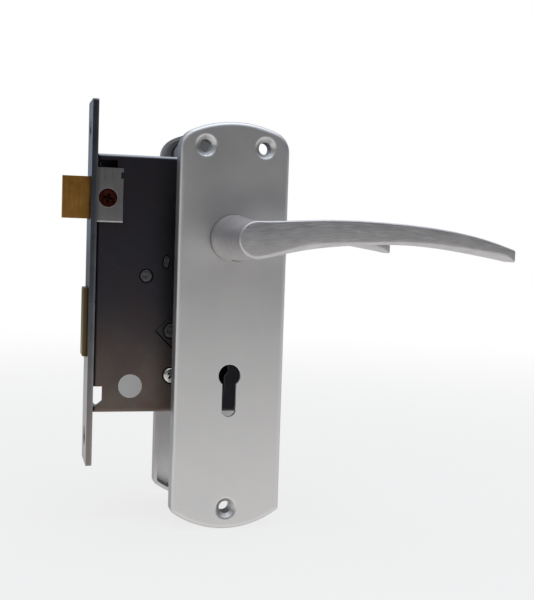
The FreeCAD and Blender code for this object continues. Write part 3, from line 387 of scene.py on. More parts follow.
def bronzedSteel():
    # Steel dipped in a brown bronzing bath: dark red brown, with copper colour where the dip wore thin.
    return patchyMetal("BronzedSteel", {
        "dark": "2e1510", "light": "5c3024", "patch": 1.1, "detail": 5.0, "rough": (0.26, 0.40),
        "grain": 0.12, "grainDepth": 0.004, "creviceShadeColor": "0c0605", "creviceShadeReach": 1.0,
    })


def springSteel():
    # Hard drawn spring wire and strip, tempered dark and oiled: blue black with a tight shine.
    finish = {
        "dark": "4a4c50", "light": "6a6c70", "patch": 1.5, "rough": (0.22, 0.36), "draw": 0.15,
        "drawDepth": 0.003,
    }
    material, tree = startMaterial("SpringSteel")
    patches = patternMm(tree, finish["patch"], detail=4.0)
    color = layerColors(tree, finish["dark"], (patches, finish["light"]))
    rough = patternMm(tree, finish["patch"], *finish["rough"], detail=4.0)
    drawn = patternMm(tree, finish["draw"])
    finishSurface(tree, color, rough, drawn, finish["drawDepth"])
    return material


def naturalNylon():
    # Injection moulded nylon with no dye: milky, a little waxy, and light passes into it at its edges.
    finish = {
        "milk": "dcd8cb", "ivory": "e6e3d8", "flow": 4.0, "rough": (0.42, 0.5), "spark": 0.15,
        "sparkDepth": 0.006, "ior": 1.53, "glow": 0.25, "glowDepth": (1.2, 1.0, 0.8),
    }
    material, tree = startMaterial("NaturalNylon")
    flow = patternMm(tree, finish["flow"])
    color = layerColors(tree, finish["milk"], (flow, finish["ivory"]))
    rough = patternMm(tree, finish["flow"], *finish["rough"])
    spark = patternMm(tree, finish["spark"])
    light = {
        "IOR": finish["ior"], "Subsurface Weight": finish["glow"],
        "Subsurface Radius": mm(*finish["glowDepth"]),
    }
    finishSurface(tree, color, rough, spark, finish["sparkDepth"], light)
    return material


def uncoatedPaper():
    # Uncoated label paper: flat off-white with tangled fibres and no shine.
    finish = {
        "grey": "c3c1bf", "white": "d0cecc", "fibre": 0.3, "fibreDepth": 0.012, "rough": (0.82, 0.92),
        "shine": 0.3,
    }
    material, tree = startMaterial("UncoatedPaper")
    fibres = patternMm(tree, finish["fibre"], detail=6.0)
    color = layerColors(tree, finish["grey"], (fibres, finish["white"]))
    rough = patternMm(tree, finish["fibre"], *finish["rough"])
    finishSurface(tree, color, rough, fibres, finish["fibreDepth"], {"Specular IOR Level": finish["shine"]})
    return material


slotMaterials = {
    "plate_aluminium": satinAnodisedAluminium(),
    "handle_aluminium": brushedAnodisedAluminium(),
    "case_steel": gunmetalSteel(),
    "forend_steel": bluedStrip(),
    "bolt_brass": boltBrass(),
    "lever_brass": leverBrass(),
    "work_steel": oiledSteel(),
    "spring_steel": springSteel(),
    "zinc_screw": brightZinc(),
    "bronzed_screw": bronzedSteel(),
    "nylon": naturalNylon(),
    "paper_label": uncoatedPaper(),
}
slotOf = {part["node"]: part["material_slot"] for part in frame["record"]["subparts"]}
bodyOf = {node: body for body, nodes in frame["record"]["behaviour"]["bodies"].items() for node in nodes}
for node, slot in slotOf.items():
    nodeMesh = frame["nodes"][node].data
    nodeMesh.materials.clear()
    nodeMesh.materials.append(slotMaterials[slot])
print("Materials made:", len(slotMaterials))


# Mesh tools

def newObject(name, data):
    made = bpy.data.objects.new(name, data)
    bpy.context.scene.collection.objects.link(made)
    return made


def asObject(name, work):
    # a bmesh drawn in millimetres becomes an object in metres
    bmesh.ops.scale(work, vec=mm(1, 1, 1), verts=work.verts)
    bmesh.ops.recalc_face_normals(work, faces=work.faces)
    mesh = bpy.data.meshes.new(name)
    work.to_mesh(mesh)
    work.free()
    return newObject(name, mesh)


def combine(piece, other, operation):
    # joins the other solid to the piece or cuts it away, and keeps only the result
    change = piece.modifiers.new("Combine", "BOOLEAN")
    change.operation, change.solver, change.object = operation, "EXACT", other
    graph = bpy.context.evaluated_depsgraph_get()
    result = bpy.data.meshes.new_from_object(piece.evaluated_get(graph))
    piece.modifiers.clear()
    piece.data = result
    bpy.data.objects.remove(other)


def standIn(piece, node, sharpDegrees=35, rides=True):
    # the piece takes the node's place, body and finish; one that bends between two bodies rides on none
    mesh = piece.data
    mesh.shade_smooth()
    mesh.set_sharp_from_angle(angle=math.radians(sharpDegrees))
    mesh.materials.clear()
    mesh.materials.append(slotMaterials[slotOf[node]])
    even = piece.modifiers.new("EvenShading", "WEIGHTED_NORMAL")
    even.keep_sharp = True
    if rides:
        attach(piece, bodyOf[node])
    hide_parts(node)


def joinRings(work, rings, endFaces=True):
    # faces between each ring of points and the next, and one over each end
    count = len(rings[0])
    for near, far in zip(rings, rings[1:]):
        for k in range(count):
            after = (k + 1) % count
            work.faces.new((near[k], near[after], far[after], far[k]))
    if endFaces:
        work.faces.new(rings[0])
        work.faces.new(rings[-1])


def lathe(work, profile, segments, place=(0, 0), shapeAt=None):
    # a solid turned about an axis along Y, through (radius, y) points
    rings = []
    for radius, y in profile:
        ring = []
        for k in range(segments):
            angle = 2 * math.pi * (k + 0.5) / segments
            x, z = radius * math.cos(angle), radius * math.sin(angle)
            if shapeAt:
                x, z = shapeAt(x, z, y, angle)
            ring.append(work.verts.new((place[0] + x, y, place[1] + z)))
        rings.append(ring)
    joinRings(work, rings)


def tube(work, path, radius, sides):
    # a round wire along the path, with slightly rounded ends
    endShare = 0.75
    last = len(path) - 1
    normal = None
    rings = []
    for i, spot in enumerate(path):
        ahead = (path[min(i + 1, last)] - path[max(i - 1, 0)]).normalized()
        normal = ahead.orthogonal() if normal is None else normal - ahead * normal.dot(ahead)
        normal.normalize()
        side = ahead.cross(normal)
        size = radius * (endShare if i in (0, last) else 1.0)
        ring = []
        for k in range(sides):
            angle = 2 * math.pi * k / sides
            out = normal * math.cos(angle) + side * math.sin(angle)
            ring.append(work.verts.new(spot + out * size))
        rings.append(ring)
    joinRings(work, rings)


def smoothLine(points, startSlope):
    # a cubic curve through (x, z) points that starts at this slope and ends with no bend
    x, z = np.array(points, float).T
    gaps = np.diff(x)
    slopes = np.diff(z) / gaps
    count = len(x)
    system, wanted = np.eye(count), np.zeros(count)
    system[0, :2] = 2 * gaps[0], gaps[0]
    wanted[0] = 6 * (slopes[0] - startSlope)
    for i in range(1, count - 1):
        system[i, i - 1:i + 2] = gaps[i - 1], 2 * (gaps[i - 1] + gaps[i]), gaps[i]
        wanted[i] = 6 * (slopes[i] - slopes[i - 1])
    bend = np.linalg.solve(system, wanted)

    def heightAt(spot):
        i = np.clip(np.searchsorted(x, spot) - 1, 0, count - 2)
        left, right, gap = spot - x[i], x[i + 1] - spot, gaps[i]
        curved = (bend[i] * right ** 3 + bend[i + 1] * left ** 3) / (6 * gap)
        fromLeft = (z[i] / gap - bend[i] * gap / 6) * right
        fromRight = (z[i + 1] / gap - bend[i + 1] * gap / 6) * left
        return curved + fromLeft + fromRight

    return heightAt


# Lever handles

handleForm = {
    # the lever seen from the front, from the spindle axis to its tip
    "topLine": ((0, 7.2), (24.2, 8.4), (51.5, 8.2), (76.4, 6.0), (95.0, 2.2), (105.2, -1.0)),
    "underLine": ((1.3, -7.08), (16.3, -3.8), (39.8, -0.9), (64.2, -0.5), (89.4, -3.3), (105.2, -5.9)),
    "underStartSlope": 0.184, "endRadius": 7.2, "thickness": 11.5, "tipThickness": 9.5,
    # how far each edge is rounded over, and how much the front face swells; under the lever the
    # rounding changes along it, as (x, radius) points, and it comes in where the outline starts to
    # face down, from the first number of underTurn to the second
    "underEdge": ((-7.2, 1.0), (6, 1.6), (20, 2.4), (45, 1.3), (75, 1.9), (105.2, 2.7)),
    "underTurn": (0.1, 0.9),
    "topEdge": 0.8, "tipEdge": 0.5, "backEdge": 3.2, "tipCorner": 0.8, "tipEase": 0.55, "edgeShare": 0.42,
    "crownRadius": 90.0, "endSteps": 14, "stations": 64, "cornerSteps": 4, "edgeSteps": 6, "faceRows": 8,
    # the neck and its shank
    "neckBase": 9.8, "neckBaseLength": 3.5, "neckMiddle": 8.3, "neckTop": 7.15, "baseEdge": 0.6,
    "taperSlope": -7.0, "taperFirst": 0.04, "taperSteps": 24, "shoulderGap": 0.25, "shank": 7.5,
    "shankFlat": 6.6, "flatEnd": 25.85, "flatStep": 0.001, "groove": 6.5, "shankChamfer": 0.4,
    "webRadius": 5.0, "webNarrow": 4, "segments": 96,
    # the square socket, and the grub screw's hole, turned so that its points miss the neck's
    "socketHalf": 4.1, "socketEnd": 52.0, "socketOpen": 1.0, "grubPlace": 39.0, "grubRadius": 2.55,
    "grubSegments": 40, "grubInside": 0.2, "grubRadians": 0.07,
    # the share of the thickness where the brushed lines start to run round the neck
    "brushTurn": 0.95,
}


def leverRows(form, length):
    # x stations with the heights of the upper and lower edges; both edges meet at the round end
    radius, corner = form["endRadius"], form["tipCorner"]
    turn = np.linspace(math.pi / 2, 0, form["endSteps"], endpoint=False)
    along = np.linspace(0, length - corner, form["stations"])
    topAt = smoothLine(form["topLine"], 0.0)
    underAt = smoothLine(form["underLine"], form["underStartSlope"])
    roundUnder = -np.sqrt(np.maximum(radius ** 2 - along ** 2, 0))
    under = np.where(along < form["underLine"][0][0], roundUnder, underAt(along))
    x = np.concatenate([-radius * np.sin(turn), along])
    upper = np.concatenate([radius * np.cos(turn), topAt(along)])
    lower = np.concatenate([-radius * np.cos(turn), under])
    return x, upper, lower, (float(topAt(length)), float(underAt(length)))


def roundedCorner(start, corner, end, steps):
    # points after the start of a curve that turns at the corner
    points = []
    for i in range(1, steps + 1):
        t = i / steps
        points.append(start * (1 - t) ** 2 + corner * 2 * t * (1 - t) + end * t ** 2)
    return points


def fillFace(work, ring, stations, tipCount, rows, depthAt):
    # closes a ring with rows of faces across the lever
    columns = [[ring[0]] * (rows + 1)]
    for j in range(1, stations):
        top, under = ring[j], ring[-j]
        column = [top]
        for r in range(1, rows):
            spot = top.co.lerp(under.co, r / rows)
            column.append(work.verts.new((spot.x, depthAt(spot.x, spot.z), spot.z)))
        columns.append(column + [under])
    for near, far in zip(columns, columns[1:]):
        for r in range(rows):
            work.faces.new(list(dict.fromkeys((near[r], far[r], far[r + 1], near[r + 1]))))
    work.faces.new([columns[-1][0]] + ring[stations:stations + tipCount] + columns[-1][:0:-1])


def makeLever(form, front, length):
    # the long curved lever, drawn as rings from the middle of its back round to the middle of its face
    x, upper, lower, (tipTop, tipUnder) = leverRows(form, length)
    stations, corner, steps = len(x), form["tipCorner"], form["cornerSteps"]
    top = [np.array(p) for p in zip(x, upper)]
    bottom = [np.array(p) for p in zip(x, lower)]
    tipUpper = np.array((length, tipTop - corner))
    tipLower = np.array((length, tipUnder + corner))
    tip = roundedCorner(top[-1], np.array((length, tipTop)), tipUpper, steps)
    tip += [tipLower] + roundedCorner(tipLower, np.array((length, tipUnder)), bottom[-1], steps)[:-1]
    loop = np.array(top + tip + bottom[:0:-1])
    tangent = np.roll(loop, -1, axis=0) - np.roll(loop, 1, axis=0)
    normal = np.column_stack((-tangent[:, 1], tangent[:, 0]))
    normal /= np.linalg.norm(normal, axis=1)[:, None]
    room = np.concatenate((upper - lower, np.full(len(tip), tipTop - tipUnder), (upper - lower)[:0:-1]))
    room = np.where(loop[:, 0] > 0, room, 2 * form["endRadius"]) * form["edgeShare"]
    # towards the tip the edges get sharper, so that they can turn its small corners
    room = np.minimum(room, corner + np.maximum(length - corner - loop[:, 0], 0) * form["tipEase"])
    onTip = np.zeros(len(loop), bool)
    onTip[stations:stations + len(tip)] = True

    def edgeRadius(wanted):
        # the tip's own edge is small; elsewhere the wanted radius, as far as the lever is wide enough
        sized = np.minimum(wanted, room)
        return np.where(onTip, form["tipEdge"] + (sized - form["tipEdge"]) * np.abs(normal[:, 1]), sized)

    down = np.interp(-normal[:, 1], form["underTurn"], (0, 1))
    soft = down * down * (3 - 2 * down)
    under = np.interp(loop[:, 0], *np.array(form["underEdge"]).T)
    faceEdge = edgeRadius(form["topEdge"] + (under - form["topEdge"]) * soft)
    backEdge = edgeRadius(np.full(len(loop), form["backEdge"]))
    slope = (form["thickness"] - form["tipThickness"]) / length

    def faceDepth(px, pz):
        middle = np.interp(px, x, (upper + lower) / 2)
        return front + ((pz - middle) ** 2 + np.minimum(px, 0) ** 2) / (2 * form["crownRadius"])

    def backDepth(px, pz):
        return front + form["thickness"] - slope * px

    work = bmesh.new()
    turns = np.linspace(0, math.pi / 2, form["edgeSteps"] + 1)
    rings = []
    halves = ((backEdge, backDepth, -1, turns[::-1]), (faceEdge, faceDepth, 1, turns))
    for edge, depth, side, order in halves:
        inner = loop - normal * edge[:, None]
        level = depth(inner[:, 0], inner[:, 1])
        for turn in order:
            spots = loop - normal * (edge * (1 - math.cos(turn)))[:, None]
            y = level + side * edge * (1 - math.sin(turn))
            rings.append([work.verts.new((px, py, pz)) for (px, pz), py in zip(spots, y)])
    joinRings(work, rings, endFaces=False)
    fillFace(work, rings[0], stations, len(tip), form["faceRows"], backDepth)
    fillFace(work, rings[-1], stations, len(tip), form["faceRows"], faceDepth)
    return asObject("Lever", work)


def makeNeck(form, front, shankEnd):
    # the turned neck; a web on the lever's side runs out into the lever's back
    base = boxMm("front_plate")[0].y - form["shoulderGap"]
    backPlane = front + form["thickness"]
    edge, chamfer = form["baseEdge"], form["shankChamfer"]
    flatEnd, step = -form["flatEnd"], form["flatStep"]
    clipLow, clipHigh = boxMm("front_spring_clip")
    profile = [
        (form["shank"] - chamfer, shankEnd), (form["shank"], shankEnd - chamfer),
        (form["shank"], clipHigh.y), (form["groove"], clipHigh.y),
        (form["groove"], clipLow.y), (form["shank"], clipLow.y),
        (form["shank"], flatEnd + step), (form["shank"], flatEnd - step),
        (form["shank"], base), (form["neckBase"] - edge, base), (form["neckBase"], base - edge),
        (form["neckBase"], base - form["neckBaseLength"]),
    ]
    taperStart = base - form["neckBaseLength"]
    radii = ((0, form["neckBase"]), (0.5, form["neckMiddle"]), (1, form["neckTop"]))
    taper = smoothLine(radii, form["taperSlope"])
    for share in np.linspace(form["taperFirst"], 1, form["taperSteps"]):
        profile.append((float(taper(share)), taperStart + (backPlane - taperStart) * float(share)))
    profile.append((form["neckTop"], backPlane - form["thickness"] / 2))
    web = form["webRadius"]

    def shapeAt(x, z, y, angle):
        # two flats on the shank, and the web that swells towards the lever's side
        if y > flatEnd:
            z = max(-form["shankFlat"], min(form["shankFlat"], z))
        near = min(1.0, max(0.0, 1 - (y - backPlane) / web))
        narrow = max(0.0, math.cos(angle)) ** form["webNarrow"]
        grow = (web - math.sqrt(web ** 2 - (web * near) ** 2)) * narrow
        return x + grow * math.cos(angle), z + grow * math.sin(angle)

    work = bmesh.new()
    lathe(work, profile, form["segments"], shapeAt=shapeAt)
    return asObject("Neck", work)


def boxCutter(low, high):
    work = bmesh.new()
    bmesh.ops.create_cube(work, size=1.0)
    for vert in work.verts:
        vert.co = [low[i] if vert.co[i] < 0 else high[i] for i in range(3)]
    return asObject("Cutter", work)


def makeHandle(name, node, mirrored):
    form = handleForm
    low, high = boxMm("front_handle")
    length, front, shankEnd = high.x, low.y, high.y
    piece = makeLever(form, front, length)
    piece.name = piece.data.name = name
    combine(piece, makeNeck(form, front, shankEnd), "UNION")
    half = form["socketHalf"]
    socket = boxCutter((-half, -form["socketEnd"], -half), (half, shankEnd + form["socketOpen"], half))
    combine(piece, socket, "DIFFERENCE")
    work = bmesh.new()
    radius, depth = form["grubRadius"], form["neckBase"]
    below = Matrix.Translation((0, -form["grubPlace"], -half + form["grubInside"] - depth / 2))
    bmesh.ops.create_cone(
        work, cap_ends=True, segments=form["grubSegments"], radius1=radius, radius2=radius, depth=depth,
        matrix=below @ Matrix.Rotation(form["grubRadians"], 4, "Z"),
    )
    combine(piece, asObject("GrubHole", work), "DIFFERENCE")
    mesh = piece.data
    x, upper, lower = leverRows(form, length)[:3]
    middle = (upper + lower) / 2
    leverBack = mm(front + form["thickness"] * form["brushTurn"])
    spots = mesh.attributes.new("brushSpot", "FLOAT_VECTOR", "POINT")
    for vertex, spot in zip(mesh.vertices, spots.data):
        place = vertex.co
        if place.y > leverBack:  # the neck's lines run round it
            around = math.atan2(place.z, -place.x) * math.hypot(place.x, place.z)
            spot.vector = (around, place.y, 0)
        else:
            bend = mm(float(np.interp(place.x * 1000, x, middle)))
            spot.vector = place - Vector((0, 0, bend))
    if mirrored:
        mesh.transform(Matrix.Scale(-1, 4, (0, 1, 0)))
        mesh.flip_normals()
    standIn(piece, node)


makeHandle("FrontLeverHandle", "front_handle", False)
makeHandle("RearLeverHandle", "rear_handle", True)
print("Lever handles made")


# Screws and riveted posts

screwForm = {
    "segments": 64,
    # what a cross recess keeps of its size and width at its bottom, and how high its cutter starts
    "deepReach": 0.45, "deepWidth": 0.7, "above": 0.3,
}


def crossCutter(cross, top, place, turn):
    # one tapered wing of a cross recess
    form = screwForm
    work = bmesh.new()
    bmesh.ops.create_cube(work, size=1.0)
    for vert in work.verts:
        deep = vert.co.y > 0
        reach = cross["size"] / 2 * (form["deepReach"] if deep else 1.0)
        width = cross["wing"] / 2 * (form["deepWidth"] if deep else 1.0)
        x, z = math.copysign(reach, vert.co.x), math.copysign(width, vert.co.z)
        vert.co = (x, top + cross["depth"] if deep else top - form["above"], z)
    turned = Matrix.Rotation(math.radians(cross["turn"] + turn), 3, "Y")
    bmesh.ops.rotate(work, verts=work.verts, matrix=turned)
    bmesh.ops.translate(work, verts=work.verts, vec=(place[0], 0, place[1]))
    return asObject("Wing", work)


def makeScrew(name, node, profile, cross):
    low, high = boxMm(node)
    place = ((low.x + high.x) / 2, (low.z + high.z) / 2)
    work = bmesh.new()
    lathe(work, profile, screwForm["segments"], place)
    piece = asObject(name, work)
    for turn in (0, 90):  # the cross has two wings
        combine(piece, crossCutter(cross, low.y, place, turn), "DIFFERENCE")
    standIn(piece, node, sharpDegrees=30)


def panScrewProfile(node):
    form = {
        "head": 3.3, "headHeight": 1.7, "side": 0.55, "dome": 0.3, "shank": 1.9, "chamfer": 0.4,
        "steps": 10, "domeShares": (0.75, 0.5, 0.25, 0.08),
    }
    low, high = boxMm(node)
    seat = low.y + form["headHeight"]
    profile = [
        (form["shank"] - form["chamfer"], high.y), (form["shank"], high.y - form["chamfer"]),
        (form["shank"], seat), (form["head"], seat),
    ]
    shoulder = seat - form["side"]
    rise = shoulder - low.y - form["dome"]
    for i in range(form["steps"] + 1):
        a = math.pi / 2 * i / form["steps"]
        profile.append((form["head"] - rise * (1 - math.cos(a)), shoulder - rise * math.sin(a)))
    rim = profile[-1][0]
    for share in form["domeShares"]:
        profile.append((rim * share, low.y + form["dome"] * share ** 2))
    return profile


def flatScrewProfile(node):
    form = {
        "shank": 2.0, "headDepth": 1.9, "dish": 0.12, "dishShare": 0.55, "middle": 0.4,
        # the head's rounded rim, as how far in from its edge and how deep below its face
        "rim": ((0.1, 0.3), (0.0, 0.18), (0.1, 0.03), (0.3, 0.0), (0.9, 0.02)),
    }
    low, high = boxMm(node)
    head = (high.x - low.x) / 2
    profile = [(form["shank"], high.y), (form["shank"], low.y + form["headDepth"])]
    profile += [(head - inward, low.y + deep) for inward, deep in form["rim"]]
    dish = low.y + form["dish"]
    return profile + [(head * form["dishShare"], dish), (form["middle"], dish)]


def makePost(name, node):
    form = {
        "segments": 48,
        # a hammered end: a dimple, as (share of the radius, depth), and a crushed edge, as (how far
        # in from the side, depth)
        "dimple": ((0.12, 0.1), (0.4, 0.05), (0.7, 0.0)),
        "crush": ((0.35, 0.064), (0.16, 0.256), (0.0, 0.51)),
    }
    low, high = boxMm(node)
    radius = (high.x - low.x) / 2
    steps = [(share * radius, deep) for share, deep in form["dimple"]]
    steps += [(radius - inward, deep) for inward, deep in form["crush"]]
    profile = [(r, high.y - deep) for r, deep in steps]
    profile += [(r, low.y + deep) for r, deep in reversed(steps)]
    work = bmesh.new()
    lathe(work, profile, form["segments"], ((low.x + high.x) / 2, (low.z + high.z) / 2))
    standIn(asObject(name, work), node)


makeScrew(
    "PillarScrew", "case_screw", panScrewProfile("case_screw"),
    {"size": 4.1, "depth": 1.5, "turn": 38, "wing": 0.95},
)
makeScrew(
    "TabScrew", "forend_tab_screw", flatScrewProfile("forend_tab_screw"),
    {"size": 4.6, "depth": 1.4, "turn": 12, "wing": 1.0},
)
makePost("UpperPost", "upper_post")
makePost("LeverPivotPost", "lever_pivot_post")
makePost("RearRivet", "rear_rivet")
print("Screws and posts made")


# Springs

def coilPath(form, meanRadius, start, end):
    # a coil along X whose end turns lie close together
    turns, closed, rise = form["turns"], form["closedTurns"], form["closedRise"]
    openRise = (end - start - 2 * closed * rise) / turns
    path = []
    for i in range((turns + 2 * closed) * form["steps"] + 1):
        turn = i / form["steps"]
        inEnd = min(turn, closed) + max(0.0, turn - closed - turns)
        along = start + inEnd * rise + (turn - inEnd) * openRise
        angle = 2 * math.pi * turn
        path.append(Vector((along, meanRadius * math.sin(angle), meanRadius * math.cos(angle))))
    return path


def makeLatchSpring():
    form = {"wire": 1.0, "turns": 7, "closedTurns": 1, "closedRise": 1.06, "steps": 32, "sides": 14}
    low, high = boxMm("latch_spring")
    middle = (low.z + high.z) / 2
    wireRadius = form["wire"] / 2
    mean = (high.z - low.z) / 2 - wireRadius
    path = coilPath(form, mean, low.x + wireRadius, high.x - wireRadius)
    work = bmesh.new()
    tube(work, [spot + Vector((0, 0, middle)) for spot in path], wireRadius, form["sides"])
    piece = asObject("LatchSpring", work)
    standIn(piece, "latch_spring", sharpDegrees=60)
    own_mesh(piece)


def makeReturnSpring(name, node, side):
    # one and a half turns round the boss, with a straight leg at each end
    form = {"wire": 1.0, "turns": 1.5, "leg": 4.0, "steps": 40, "sides": 14}
    low, high = boxMm(node)
    wireRadius = form["wire"] / 2
    mean = high.x - wireRadius
    near, far = (low.y, high.y) if side < 0 else (high.y, low.y)
    start, end = near - side * wireRadius, far + side * wireRadius
    path = [Vector((mean, start, form["leg"]))]
    count = round(form["turns"] * form["steps"])
    for i in range(count + 1):
        angle = 2 * math.pi * form["turns"] * i / count
        along = start + (end - start) * i / count
        path.append(Vector((mean * math.cos(angle), along, -mean * math.sin(angle))))
    path.append(Vector((-mean, end, form["leg"])))
    work = bmesh.new()
    tube(work, path, wireRadius, form["sides"])
    standIn(asObject(name, work), node, sharpDegrees=60)


def makeLeverSpring(number):
    # a bent strip that stands in a slit in the lever and presses its tip against the anchor bar; the
    # strip bends between the two when the lever lifts
    form = {
        "strip": 0.4, "root": (-12.0, -31.45), "bend": (-12.0, -28.0), "bow": 3.6, "tip": (-23.9, -13.75),
        "rootSteps": 4, "steps": 40, "edge": 0.08, "hold": 0.12,
    }
    node = f"lever_spring_{number}"
    low, high = boxMm(node)
    bend, tip = Vector(form["bend"]), Vector(form["tip"])
    chord = (tip - bend).normalized()
    outward = Vector((chord.y, -chord.x))
    middle = (bend + tip) / 2 + outward * form["bow"]
    # the circle through the bend, the bow's middle and the tip
    half = (tip - bend).length / 2
    radius = (half ** 2 + form["bow"] ** 2) / (2 * form["bow"])
    center = middle - outward * radius
    first = math.atan2(bend.y - center.y, bend.x - center.x)
    last = math.atan2(tip.y - center.y, tip.x - center.x)
    path = [Vector(form["root"]).lerp(bend, i / form["rootSteps"]) for i in range(form["rootSteps"])]
    for i in range(form["steps"] + 1):
        angle = first + (last - first) * i / form["steps"]
        path.append(center + Vector((math.cos(angle), math.sin(angle))) * radius)
    edge, thick = form["edge"], form["strip"] / 2
    corners = [
        (thick, low.y + edge), (thick, high.y - edge), (thick - edge, high.y), (edge - thick, high.y),
        (-thick, high.y - edge), (-thick, low.y + edge), (edge - thick, low.y), (thick - edge, low.y),
    ]
    work = bmesh.new()
    rings = []
    for i, spot in enumerate(path):
        ahead = (path[min(i + 1, len(path) - 1)] - path[max(i - 1, 0)]).normalized()
        rings.append([work.verts.new((spot.x + ahead.y * a, y, spot.y - ahead.x * a)) for a, y in corners])
    joinRings(work, rings)
    piece = asObject(f"LeverSpring{number}", work)
    standIn(piece, node, sharpDegrees=60, rides=False)
    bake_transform(piece)


makeLatchSpring()
for number in (1, 2, 3):
    makeLeverSpring(number)
makeReturnSpring("FrontReturnSpring", "front_return_spring", -1)
makeReturnSpring("RearReturnSpring", "rear_return_spring", 1)
print("Springs made")


# Inspection sticker

def makeSticker():
    form = {
        "segments": 72, "edge": 0.03, "shares": (0.99, 0.9, 0.75, 0.55, 0.35, 0.1),
        # the face dips by wave towards its middle, and a little more in a few places round it; all
        # that lies less than faceShare of wave deep is the face
        "wave": 0.03, "waveCount": 3, "waveShare": 0.25, "faceShare": 1.5,
    }
    low, high = boxMm("inspection_sticker")
    radius = (high.x - low.x) / 2
    place = ((low.x + high.x) / 2, (low.z + high.z) / 2)
    edge = form["edge"]
    profile = [(radius - edge, high.y), (radius, high.y - edge), (radius, low.y + edge)]
    for share in form["shares"]:
        profile.append((radius * share, low.y + form["wave"] * (1 - share)))
    work = bmesh.new()
    lathe(work, profile, form["segments"], place)
    for vert in work.verts:
        if vert.co.y < low.y + form["wave"] * form["faceShare"]:
            angle = math.atan2(vert.co.z - place[1], vert.co.x - place[0])
            vert.co.y += form["wave"] * form["waveShare"] * (1 + math.sin(form["waveCount"] * angle))
    standIn(asObject("InspectionSticker", work), "inspection_sticker")


makeSticker()
print("Sticker made")


# Floor, light and camera

lampForms = {
    "TopSoftbox": {
        "place": (40, -120, 760), "aim": (10, 0, -20), "size": (900, 520), "watts": 2.0, "color": "d4e5ff",
    },
    "LeftSoftbox": {
        "place": (-760, -180, 260), "aim": (0, 0, -20), "size": (500, 800), "watts": 0.2, "color": "ffffff",
    },
}


def addSoftbox(name, form):
    lamp = bpy.data.lights.new(name, "AREA")
    lamp.shape = "RECTANGLE"
    lamp.size, lamp.size_y = mm(*form["size"])
    lamp.energy = form["watts"]
    lamp.color = hexColor(form["color"])[:3]
    holder = newObject(name, lamp)
    holder.location = mm(*form["place"])
    look = Vector(form["aim"]) - Vector(form["place"])
    holder.rotation_euler = look.to_track_quat("-Z", "Y").to_euler()


def backdropRays(tree):
    # 1 for the rays that meet the backdrop, which are mirrored, bent or the camera's own, and 1 for
    # the camera's own alone
    path = addNode(tree, "LightPath")
    camera = path["Is Camera Ray"]
    inputs = {0: path["Is Glossy Ray"], 1: path["Is Transmission Ray"]}
    sharp = addNode(tree, "Math", inputs, operation="MAXIMUM")[0]
    backdrop = addNode(tree, "Math", {0: camera, 1: sharp}, operation="MAXIMUM")[0]
    return backdrop, camera


floorForm = {
    "half": 9000.0, "color": "e0e0de", "nearShare": 0.74, "near": 160.0, "far": 900.0,
    # the table ends a little before and behind the object, and metal mirrors the dim room beyond it
    "table": 430.0, "tableShare": 0.97, "room": 1000.0, "roomShare": 0.2,
}


def makeFloor():
    form = floorForm
    bottom = cadBox[0].z
    half = mm(form["half"])
    mesh = bpy.data.meshes.new("Floor")
    corners = [(-half, -half, bottom), (half, -half, bottom), (half, half, bottom), (-half, half, bottom)]
    mesh.from_pydata(corners, [], [(0, 1, 2, 3)])
    floor = newObject("Floor", mesh)
    material, tree = startMaterial("MattFloor")
    matt = addNode(tree, "BsdfDiffuse", {"Color": hexColor(form["color"])})
    spot = addNode(tree, "TexCoord")["Object"]
    distance = addNode(tree, "VectorMath", {0: spot}, operation="LENGTH")["Value"]
    spread = {
        "Value": distance, "From Min": mm(form["near"]), "From Max": mm(form["far"]),
        "To Min": form["nearShare"], "To Max": 1.0,
    }
    share = addNode(tree, "MapRange", spread, interpolation_type="SMOOTHSTEP")[0]
    backdrop, camera = backdropRays(tree)
    depth = addNode(tree, "SeparateXYZ", {0: spot})["Y"]
    beyond = addNode(tree, "Math", {0: depth}, operation="ABSOLUTE")[0]
    spread = {
        "Value": beyond, "From Min": mm(form["table"]), "From Max": mm(form["room"]),
        "To Min": form["tableShare"], "To Max": form["roomShare"],
    }
    table = addNode(tree, "MapRange", spread, interpolation_type="SMOOTHSTEP")[0]
    glow = addNode(tree, "Math", {0: table, 1: camera}, operation="MAXIMUM")[0]
    white = addNode(tree, "Emission", {"Color": (1, 1, 1, 1), "Strength": glow})
    seen = addNode(tree, "Math", {0: backdrop, 1: share}, operation="MULTIPLY")[0]
    top = addNode(tree, "MixShader", {0: seen, 1: matt[0], 2: white[0]})
    # from below the floor is clear, so that it hides nothing
    clear = addNode(tree, "BsdfTransparent")
    side = addNode(tree, "NewGeometry")["Backfacing"]
    both = addNode(tree, "MixShader", {0: side, 1: top[0], 2: clear[0]})
    addNode(tree, "OutputMaterial", {"Surface": both[0]})
    mesh.materials.append(material)


roomForm = {
    "ambient": 0.55, "dim": "4b4b4d", "white": "ffffff", "pale": "a9b4c2",
    # each share by how far a direction points along an axis: from, to, and the shares there
    "front": ("Y", -0.25, 0.5, 1.0, 0.0), "below": ("Z", 0.1, 0.7, 1.0, 0.42),
    "overhead": ("Z", 0.4, 0.75, 0.0, 1.0),
}


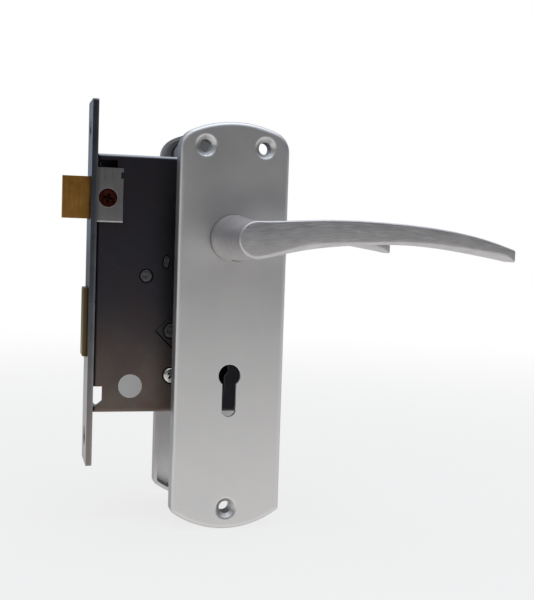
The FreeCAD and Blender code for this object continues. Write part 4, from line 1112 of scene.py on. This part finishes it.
def makeWorld():
    # the backdrop is white behind and above the object, and metal mirrors its upright part as a pale
    # blue grey; the room is dim on the camera's side, which is what the front faces mirror, and
    # lighter towards its ceiling
    form = roomForm
    world = bpy.data.worlds.new("Studio")
    bpy.context.scene.world = world
    world.use_nodes = True
    tree = world.node_tree
    tree.nodes.clear()
    backdrop, camera = backdropRays(tree)
    direction = addNode(tree, "TexCoord")["Generated"]
    parts = addNode(tree, "SeparateXYZ", {0: direction})
    shares = {}
    for name in ("front", "below", "overhead"):
        axis, start, end, low, high = form[name]
        spread = {"Value": parts[axis], "From Min": start, "From Max": end, "To Min": low, "To Max": high}
        share = addNode(tree, "MapRange", spread, interpolation_type="SMOOTHSTEP")
        shares[name] = share[0]
    inputs = {0: shares["front"], 1: shares["below"]}
    dimness = addNode(tree, "Math", inputs, operation="MULTIPLY")[0]
    room = layerColors(
        tree, form["pale"], (shares["overhead"], form["white"]), (dimness, form["dim"]),
        (camera, form["white"]),
    )
    sky = addNode(tree, "Background", {"Color": room, "Strength": 1.0})
    light = addNode(tree, "Background", {"Color": (1, 1, 1, 1), "Strength": form["ambient"]})
    mixed = addNode(tree, "MixShader", {0: backdrop, 1: light[0], 2: sky[0]})
    addNode(tree, "OutputWorld", {"Surface": mixed[0]})


def makeCamera():
    form = {
        "lens": 63.1, "sensor": 36.0, "nearest": 10.0, "place": (-91.97, -456.79, 2.6),
        "aim": (15.03, -31.0, -25.16), "lean": 1.853,
    }
    lens = bpy.data.cameras.new("PhotoCamera")
    lens.lens = form["lens"]
    lens.sensor_width = form["sensor"]
    lens.clip_start = mm(form["nearest"])
    camera = newObject("PhotoCamera", lens)
    camera.location = mm(*form["place"])
    look = (Vector(form["aim"]) - Vector(form["place"])).to_track_quat("-Z", "Y")
    lean = Euler((0, 0, math.radians(form["lean"]))).to_quaternion()
    camera.rotation_euler = (look @ lean).to_euler()
    bpy.context.scene.camera = camera


makeFloor()
makeWorld()
for lampName, lampForm in lampForms.items():
    addSoftbox(lampName, lampForm)
makeCamera()
bpy.context.scene.view_settings.view_transform = "Standard"
print("Floor, light and camera placed")
